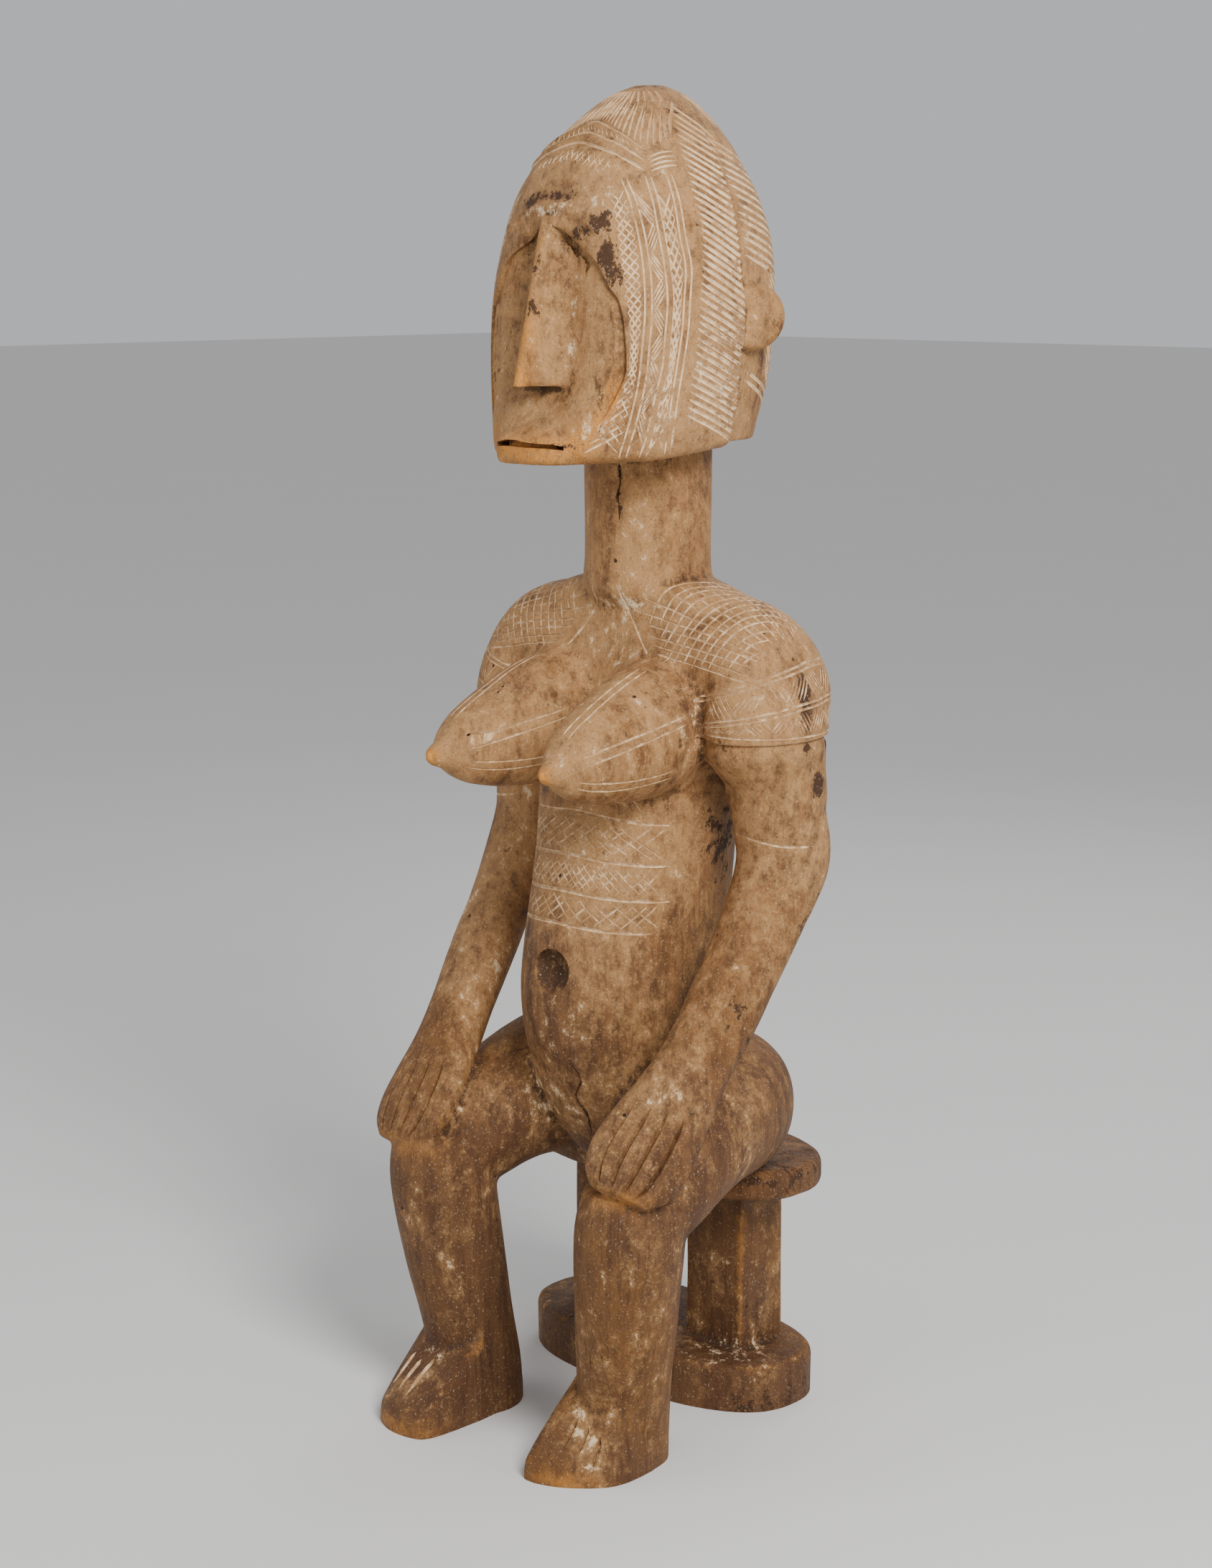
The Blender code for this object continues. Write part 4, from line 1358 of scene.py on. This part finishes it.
class Nodes:
    """Short calls for building one material's node tree."""

    def __init__(self, name):
        self.material = bpy.data.materials.new(name)
        self.material.use_nodes = True
        self.tree = self.material.node_tree
        self.shader = self.tree.nodes["Principled BSDF"]
        self.spot = self.tree.nodes.new("ShaderNodeTexCoord").outputs["Object"]

    def link(self, source, socket):
        if isinstance(source, bpy.types.NodeSocket):
            self.tree.links.new(source, socket)
        else:
            socket.default_value = source

    def stretched(self, x, y, z):
        node = self.tree.nodes.new("ShaderNodeMapping")
        node.inputs["Scale"].default_value = (x, y, z)
        self.link(self.spot, node.inputs["Vector"])
        return node.outputs["Vector"]

    def noise(self, scale, detail=5.0, rough=0.6, vector=None, distort=0.0):
        node = self.tree.nodes.new("ShaderNodeTexNoise")
        self.link(vector or self.spot, node.inputs["Vector"])
        node.inputs["Scale"].default_value = scale
        node.inputs["Detail"].default_value = detail
        node.inputs["Roughness"].default_value = rough
        node.inputs["Distortion"].default_value = distort
        return node.outputs["Fac"]

    def cells(self, scale):
        node = self.tree.nodes.new("ShaderNodeTexVoronoi")
        self.link(self.spot, node.inputs["Vector"])
        node.inputs["Scale"].default_value = scale
        return node

    def point(self, name):
        node = self.tree.nodes.new("ShaderNodeAttribute")
        node.attribute_name = name
        return node.outputs["Fac"]

    def range(self, value, low, high, start=0.0, end=1.0):
        node = self.tree.nodes.new("ShaderNodeMapRange")
        node.interpolation_type = "SMOOTHSTEP"
        self.link(value, node.inputs["Value"])
        node.inputs["From Min"].default_value = low
        node.inputs["From Max"].default_value = high
        node.inputs["To Min"].default_value = start
        node.inputs["To Max"].default_value = end
        return node.outputs["Result"]

    def math(self, kind, a, b=0.0, clamp=False):
        node = self.tree.nodes.new("ShaderNodeMath")
        node.operation = kind
        node.use_clamp = clamp
        self.link(a, node.inputs[0])
        self.link(b, node.inputs[1])
        return node.outputs[0]

    def mix(self, fac, a, b):
        node = self.tree.nodes.new("ShaderNodeMix")
        node.data_type = "RGBA"
        self.link(fac, node.inputs["Factor"])
        self.link(a, node.inputs["A"])
        self.link(b, node.inputs["B"])
        return node.outputs["Result"]

    def height(self):
        node = self.tree.nodes.new("ShaderNodeSeparateXYZ")
        self.link(self.spot, node.inputs[0])
        return node.outputs["Z"]

    def bump(self, value, strength, distance):
        node = self.tree.nodes.new("ShaderNodeBump")
        node.inputs["Strength"].default_value = strength
        node.inputs["Distance"].default_value = distance
        self.link(value, node.inputs["Height"])
        return node.outputs["Normal"]


def rgba(colour, shade=1.0):
    return (colour[0] * shade, colour[1] * shade, colour[2] * shade, 1.0)


def aged_wood(finish):
    """Oiled brown wood under dry dust, worn bare where it is handled and stained in patches, with painted
    shade in its creases and between the left arm and the body.
    """
    n = Nodes("aged_wood")
    fibre = n.noise(260.0, 6.0, 0.65, n.stretched(1.0, 1.0, 0.06))
    streak = n.noise(60.0, 6.0, 0.65, n.stretched(1.0, 1.0, 0.12), 0.5)
    broad = n.noise(14.0, 8.0, 0.68, n.stretched(1.0, 1.0, 0.5), 0.5)
    crust = n.noise(95.0, 10.0, 0.80, n.stretched(1.0, 1.0, 0.75))
    speck = n.noise(520.0, 4.0, 0.75)
    slow = n.noise(6.0, 3.0, 0.55)
    low = n.range(n.height(), 0.05 * FIGURE_HEIGHT, 0.62 * FIGURE_HEIGHT)
    bare = n.mix(low, rgba(finish.wood, 0.62), rgba(finish.wood, 1.35))
    colour = n.mix(n.range(streak, 0.38, 0.60), rgba(finish.deep, 1.8), bare)
    colour = n.mix(n.range(slow, 0.42, 0.68, 0.0, 0.45), colour, rgba(finish.ochre, 0.42))
    colour = n.mix(n.range(fibre, 0.48, 0.64, 0.0, 0.50), colour, rgba(finish.deep))
    veil = n.math("ADD", n.math("MULTIPLY", broad, 0.45), n.math("MULTIPLY", crust, 0.55))
    veil = n.math("ADD", veil, n.range(low, 0.0, 1.0, -0.055, 0.030))
    veil = n.math("ADD", veil, n.math("MULTIPLY", n.point("smear"), 0.016))
    colour = n.mix(n.range(veil, 0.42, 0.61, 0.0, 0.90), colour, rgba(finish.dust))
    # The edge value is above zero on ridges and below zero in creases: ridges turn ochre as wood worn
    # bare, and creases darken towards deep wood as painted shade with some grime.
    edge = n.math("ADD", n.point("edge"), n.range(crust, 0.38, 0.62, -0.09, 0.07))
    colour = n.mix(n.range(edge, 0.10, 0.22, 0.0, 0.45), colour, rgba(finish.ochre, 0.62))
    colour = n.mix(n.range(edge, -0.06, -0.20, 0.0, 0.75), colour, rgba(finish.deep, 0.7))
    worn = n.math("MULTIPLY", n.point("worn"), n.range(crust, 0.38, 0.56, 0.30, 1.3), True)
    colour = n.mix(worn, colour, rgba(finish.ochre))
    fresh = n.math("ADD", n.point("worn"), n.range(crust, 0.40, 0.60, -0.25, 0.25))
    colour = n.mix(n.range(fresh, 1.30, 1.42), colour, rgba(finish.ochre, 1.45))
    chalky = n.math("ADD", crust, n.math("MULTIPLY", n.point("pale"), 0.14))
    chalky = n.math("ADD", chalky, n.range(broad, 0.45, 0.70, -0.03, 0.05))
    colour = n.mix(n.range(chalky, 0.59, 0.66, 0.0, 0.80), colour, rgba(finish.chalk))
    # Stains and burns darken to char; the patches between the left arm and the torso add painted shade.
    stain_and_shade_mask = n.math("ADD", n.point("stain_and_shade"), n.range(crust, 0.38, 0.62, -0.40, 0.30))
    colour = n.mix(n.range(stain_and_shade_mask, 0.42, 0.56, 0.0, 0.94), colour, rgba(finish.char))
    blot = n.noise(22.0, 8.0, 0.75, n.stretched(1.0, 1.0, 0.6), 0.6)
    blot = n.math("ADD", blot, n.math("MULTIPLY", speck, 0.06))
    colour = n.mix(n.range(blot, 0.655, 0.70, 0.0, 0.80), colour, rgba(finish.char, 2.0))
    colour = n.mix(n.range(speck, 0.58, 0.66, 0.0, 0.70), colour, rgba(finish.char, 2.0))
    colour = n.mix(n.range(speck, 0.40, 0.34, 0.0, 0.50), colour, rgba(finish.chalk, 0.85))
    holes = n.cells(62.0)
    rare = n.range(holes.outputs["Color"], 0.80, 0.82)
    hole = n.math("MULTIPLY", n.range(holes.outputs["Distance"], 0.12, 0.07), rare)
    colour = n.mix(n.math("MULTIPLY", hole, 0.95), colour, rgba(finish.char, 0.6))
    n.link(colour, n.shader.inputs["Base Color"])
    n.link(n.range(crust, 0.35, 0.65, 0.46, 0.80), n.shader.inputs["Roughness"])
    n.shader.inputs["Specular IOR Level"].default_value = 0.32
    relief = n.math("ADD", n.math("MULTIPLY", fibre, 0.5), n.math("MULTIPLY", crust, 1.1))
    relief = n.math("ADD", relief, n.math("MULTIPLY", speck, 0.40))
    relief = n.math("SUBTRACT", relief, hole)
    n.link(n.bump(relief, 0.85, 0.0018), n.shader.inputs["Normal"])
    return n.material


def filled_cut(finish):
    """Pale earth in the incised lines, gone in places."""
    n = Nodes("filled_cut")
    lost = n.noise(120.0, 8.0, 0.75)
    slow = n.noise(14.0, 5.0, 0.6)
    bare = n.math("ADD", n.range(lost, 0.42, 0.58), n.range(slow, 0.40, 0.62, -0.6, 0.5))
    colour = n.mix(n.range(lost, 0.35, 0.75), rgba(finish.chalk), rgba(finish.dust))
    colour = n.mix(n.range(bare, 0.75, 1.4, 0.0, 0.55), colour, rgba(finish.wood))
    crown = n.range(n.height(), 1.020 * UNIT, 1.062 * UNIT, 0.0, 0.62)
    colour = n.mix(crown, colour, rgba(finish.dust, 0.9))
    body = n.range(n.height(), 0.800 * UNIT, 0.720 * UNIT, 0.0, 0.55)
    colour = n.mix(n.math("MULTIPLY", body, n.range(lost, 0.38, 0.56, 0.5, 1.5), True), colour,
                   rgba(finish.dust, 0.80))
    n.link(colour, n.shader.inputs["Base Color"])
    n.shader.inputs["Roughness"].default_value = 0.88
    n.link(n.bump(lost, 0.5, 0.0010), n.shader.inputs["Normal"])
    return n.material


def floor_finish(stage):
    n = Nodes("studio_floor")
    tone = n.noise(3.0, 3.0)
    n.link(n.mix(n.range(tone, 0.3, 0.7, 0.0, 0.08), rgba(stage.floor), rgba(stage.floor, 0.85)),
           n.shader.inputs["Base Color"])
    n.shader.inputs["Roughness"].default_value = 0.85
    return n.material


# Operators

class FIGURE_OT_carve(bpy.types.Operator):
    """Carve the figure, cut its patterns and give it its aged finish"""
    bl_idname = "figure.carve"
    bl_label = "Carve Figure"

    def execute(self, context):
        scene = context.scene
        rng = random.Random(HAND_SEED)
        figure = build_form(scene.figure_form)
        skin_points, stand = roundness(figure)
        wander_surface(figure, scene.figure_form.knife)
        flatten_floor(figure)
        thin(figure, scene.figure_form.body_faces)
        places = Places(figure)
        lines = scene.figure_lines
        sets = []
        for pattern in (hair_cuts, shoulder_cuts, arm_cuts, breast_cuts, belly_cuts):
            sets.extend(pattern(places, lines, rng))
        toes = {side: toe_cuts(side, places) for side in (-1, 1)}
        splits = split_cuts(places)
        cut_tree = nearest_points([p for cuts in sets + [toes[-1]] for p in cuts.path])
        for side in (-1, 1):
            sets.extend([rim_cuts(side, places), hand_cuts(side, places), toes[side]])
        sets.append(splits)
        for cuts in sets:
            cuts.cut(figure)
        subtract(figure, mouth_slot())
        thin(figure, scene.figure_form.all_faces)
        measure_finish(figure, skin_points, stand, cut_tree, nearest_points(splits.path))
        figure.data.materials.clear()
        figure.data.materials.append(aged_wood(scene.figure_finish))
        figure.data.materials.append(filled_cut(scene.figure_finish))
        mark_cuts(figure, places.tree, cut_tree)
        figure.data.shade_smooth()
        figure.data.set_sharp_from_angle(angle=CREASE_ANGLE)
        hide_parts(NODE)
        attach(figure, "root")
        return {"FINISHED"}


def soft_light(name, power, size, place, aim):
    data = bpy.data.lights.new(name, "AREA")
    data.energy = power
    data.shape = "DISK"
    data.size = size
    lamp = place_object(name, data)
    lamp.location = place
    lamp.rotation_euler = (Vector(aim) - Vector(place)).to_track_quat("-Z", "Y").to_euler()
    return lamp


KEY_PLACE = (1.9, -0.8, 2.0)
FILL_PLACE = (-1.4, -1.9, 1.2)
BACK_PLACE = (-0.8, 1.9, 1.8)
CHEST = (0.0, 0.0, 0.75)
MIDDLE = (0.0, 0.0, 0.6)
CAMERA_PLACE = (1.612, -1.7185, 0.969)
CAMERA_TILT = (79.5, 0.0, 44.0)
CAMERA_LENS = 65.93


class FIGURE_OT_stage(bpy.types.Operator):
    """Lay the pale floor, set the soft lights and aim the camera"""
    bl_idname = "figure.stage"
    bl_label = "Set Stage"

    def execute(self, context):
        stage = context.scene.figure_stage
        mesh = bpy.data.meshes.new("studio_floor")
        bm = bmesh.new()
        bmesh.ops.create_grid(bm, x_segments=1, y_segments=1, size=24.0)
        bm.to_mesh(mesh)
        bm.free()
        floor = place_object("studio_floor", mesh)
        mesh.materials.append(floor_finish(stage))
        soft_light("key_light", stage.key, 1.0, KEY_PLACE, CHEST)
        soft_light("fill_light", stage.fill, 1.8, FILL_PLACE, MIDDLE)
        soft_light("back_light", stage.fill, 1.4, BACK_PLACE, MIDDLE)
        world = bpy.data.worlds.new("surround")
        world.use_nodes = True
        backdrop = world.node_tree.nodes["Background"]
        backdrop.inputs["Color"].default_value = (0.86, 0.87, 0.90, 1.0)
        backdrop.inputs["Strength"].default_value = stage.sky
        context.scene.world = world
        data = bpy.data.cameras.new("camera")
        data.lens = CAMERA_LENS
        data.sensor_width = 36.0
        camera = place_object("camera", data)
        camera.location = CAMERA_PLACE
        camera.rotation_euler = [math.radians(a) for a in CAMERA_TILT]
        context.scene.camera = camera
        return {"FINISHED"}


class FIGURE_PT_panel(bpy.types.Panel):
    """Sizes, colours and steps of the figure"""
    bl_label = "Seated Figure"
    bl_idname = "FIGURE_PT_panel"
    bl_space_type = "VIEW_3D"
    bl_region_type = "UI"
    bl_category = "Figure"

    def draw(self, context):
        scene = context.scene
        for group in (scene.figure_form, scene.figure_lines, scene.figure_finish, scene.figure_stage):
            box = self.layout.box()
            for name in group.__annotations__:
                box.prop(group, name)
        self.layout.operator("figure.carve")
        self.layout.operator("figure.stage")


CLASSES = (FigureForm, FigureLines, FigureFinish, FigureStage,
           FIGURE_OT_carve, FIGURE_OT_stage, FIGURE_PT_panel)


def register():
    for cls in CLASSES:
        bpy.utils.register_class(cls)
    bpy.types.Scene.figure_form = bpy.props.PointerProperty(type=FigureForm)
    bpy.types.Scene.figure_lines = bpy.props.PointerProperty(type=FigureLines)
    bpy.types.Scene.figure_finish = bpy.props.PointerProperty(type=FigureFinish)
    bpy.types.Scene.figure_stage = bpy.props.PointerProperty(type=FigureStage)


def unregister():
    for name in ("figure_form", "figure_lines", "figure_finish", "figure_stage"):
        delattr(bpy.types.Scene, name)
    for cls in reversed(CLASSES):
        bpy.utils.unregister_class(cls)


def main():
    register()
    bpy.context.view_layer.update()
    bpy.ops.figure.carve()
    bpy.ops.figure.stage()


if __name__ == "__main__":
    main()
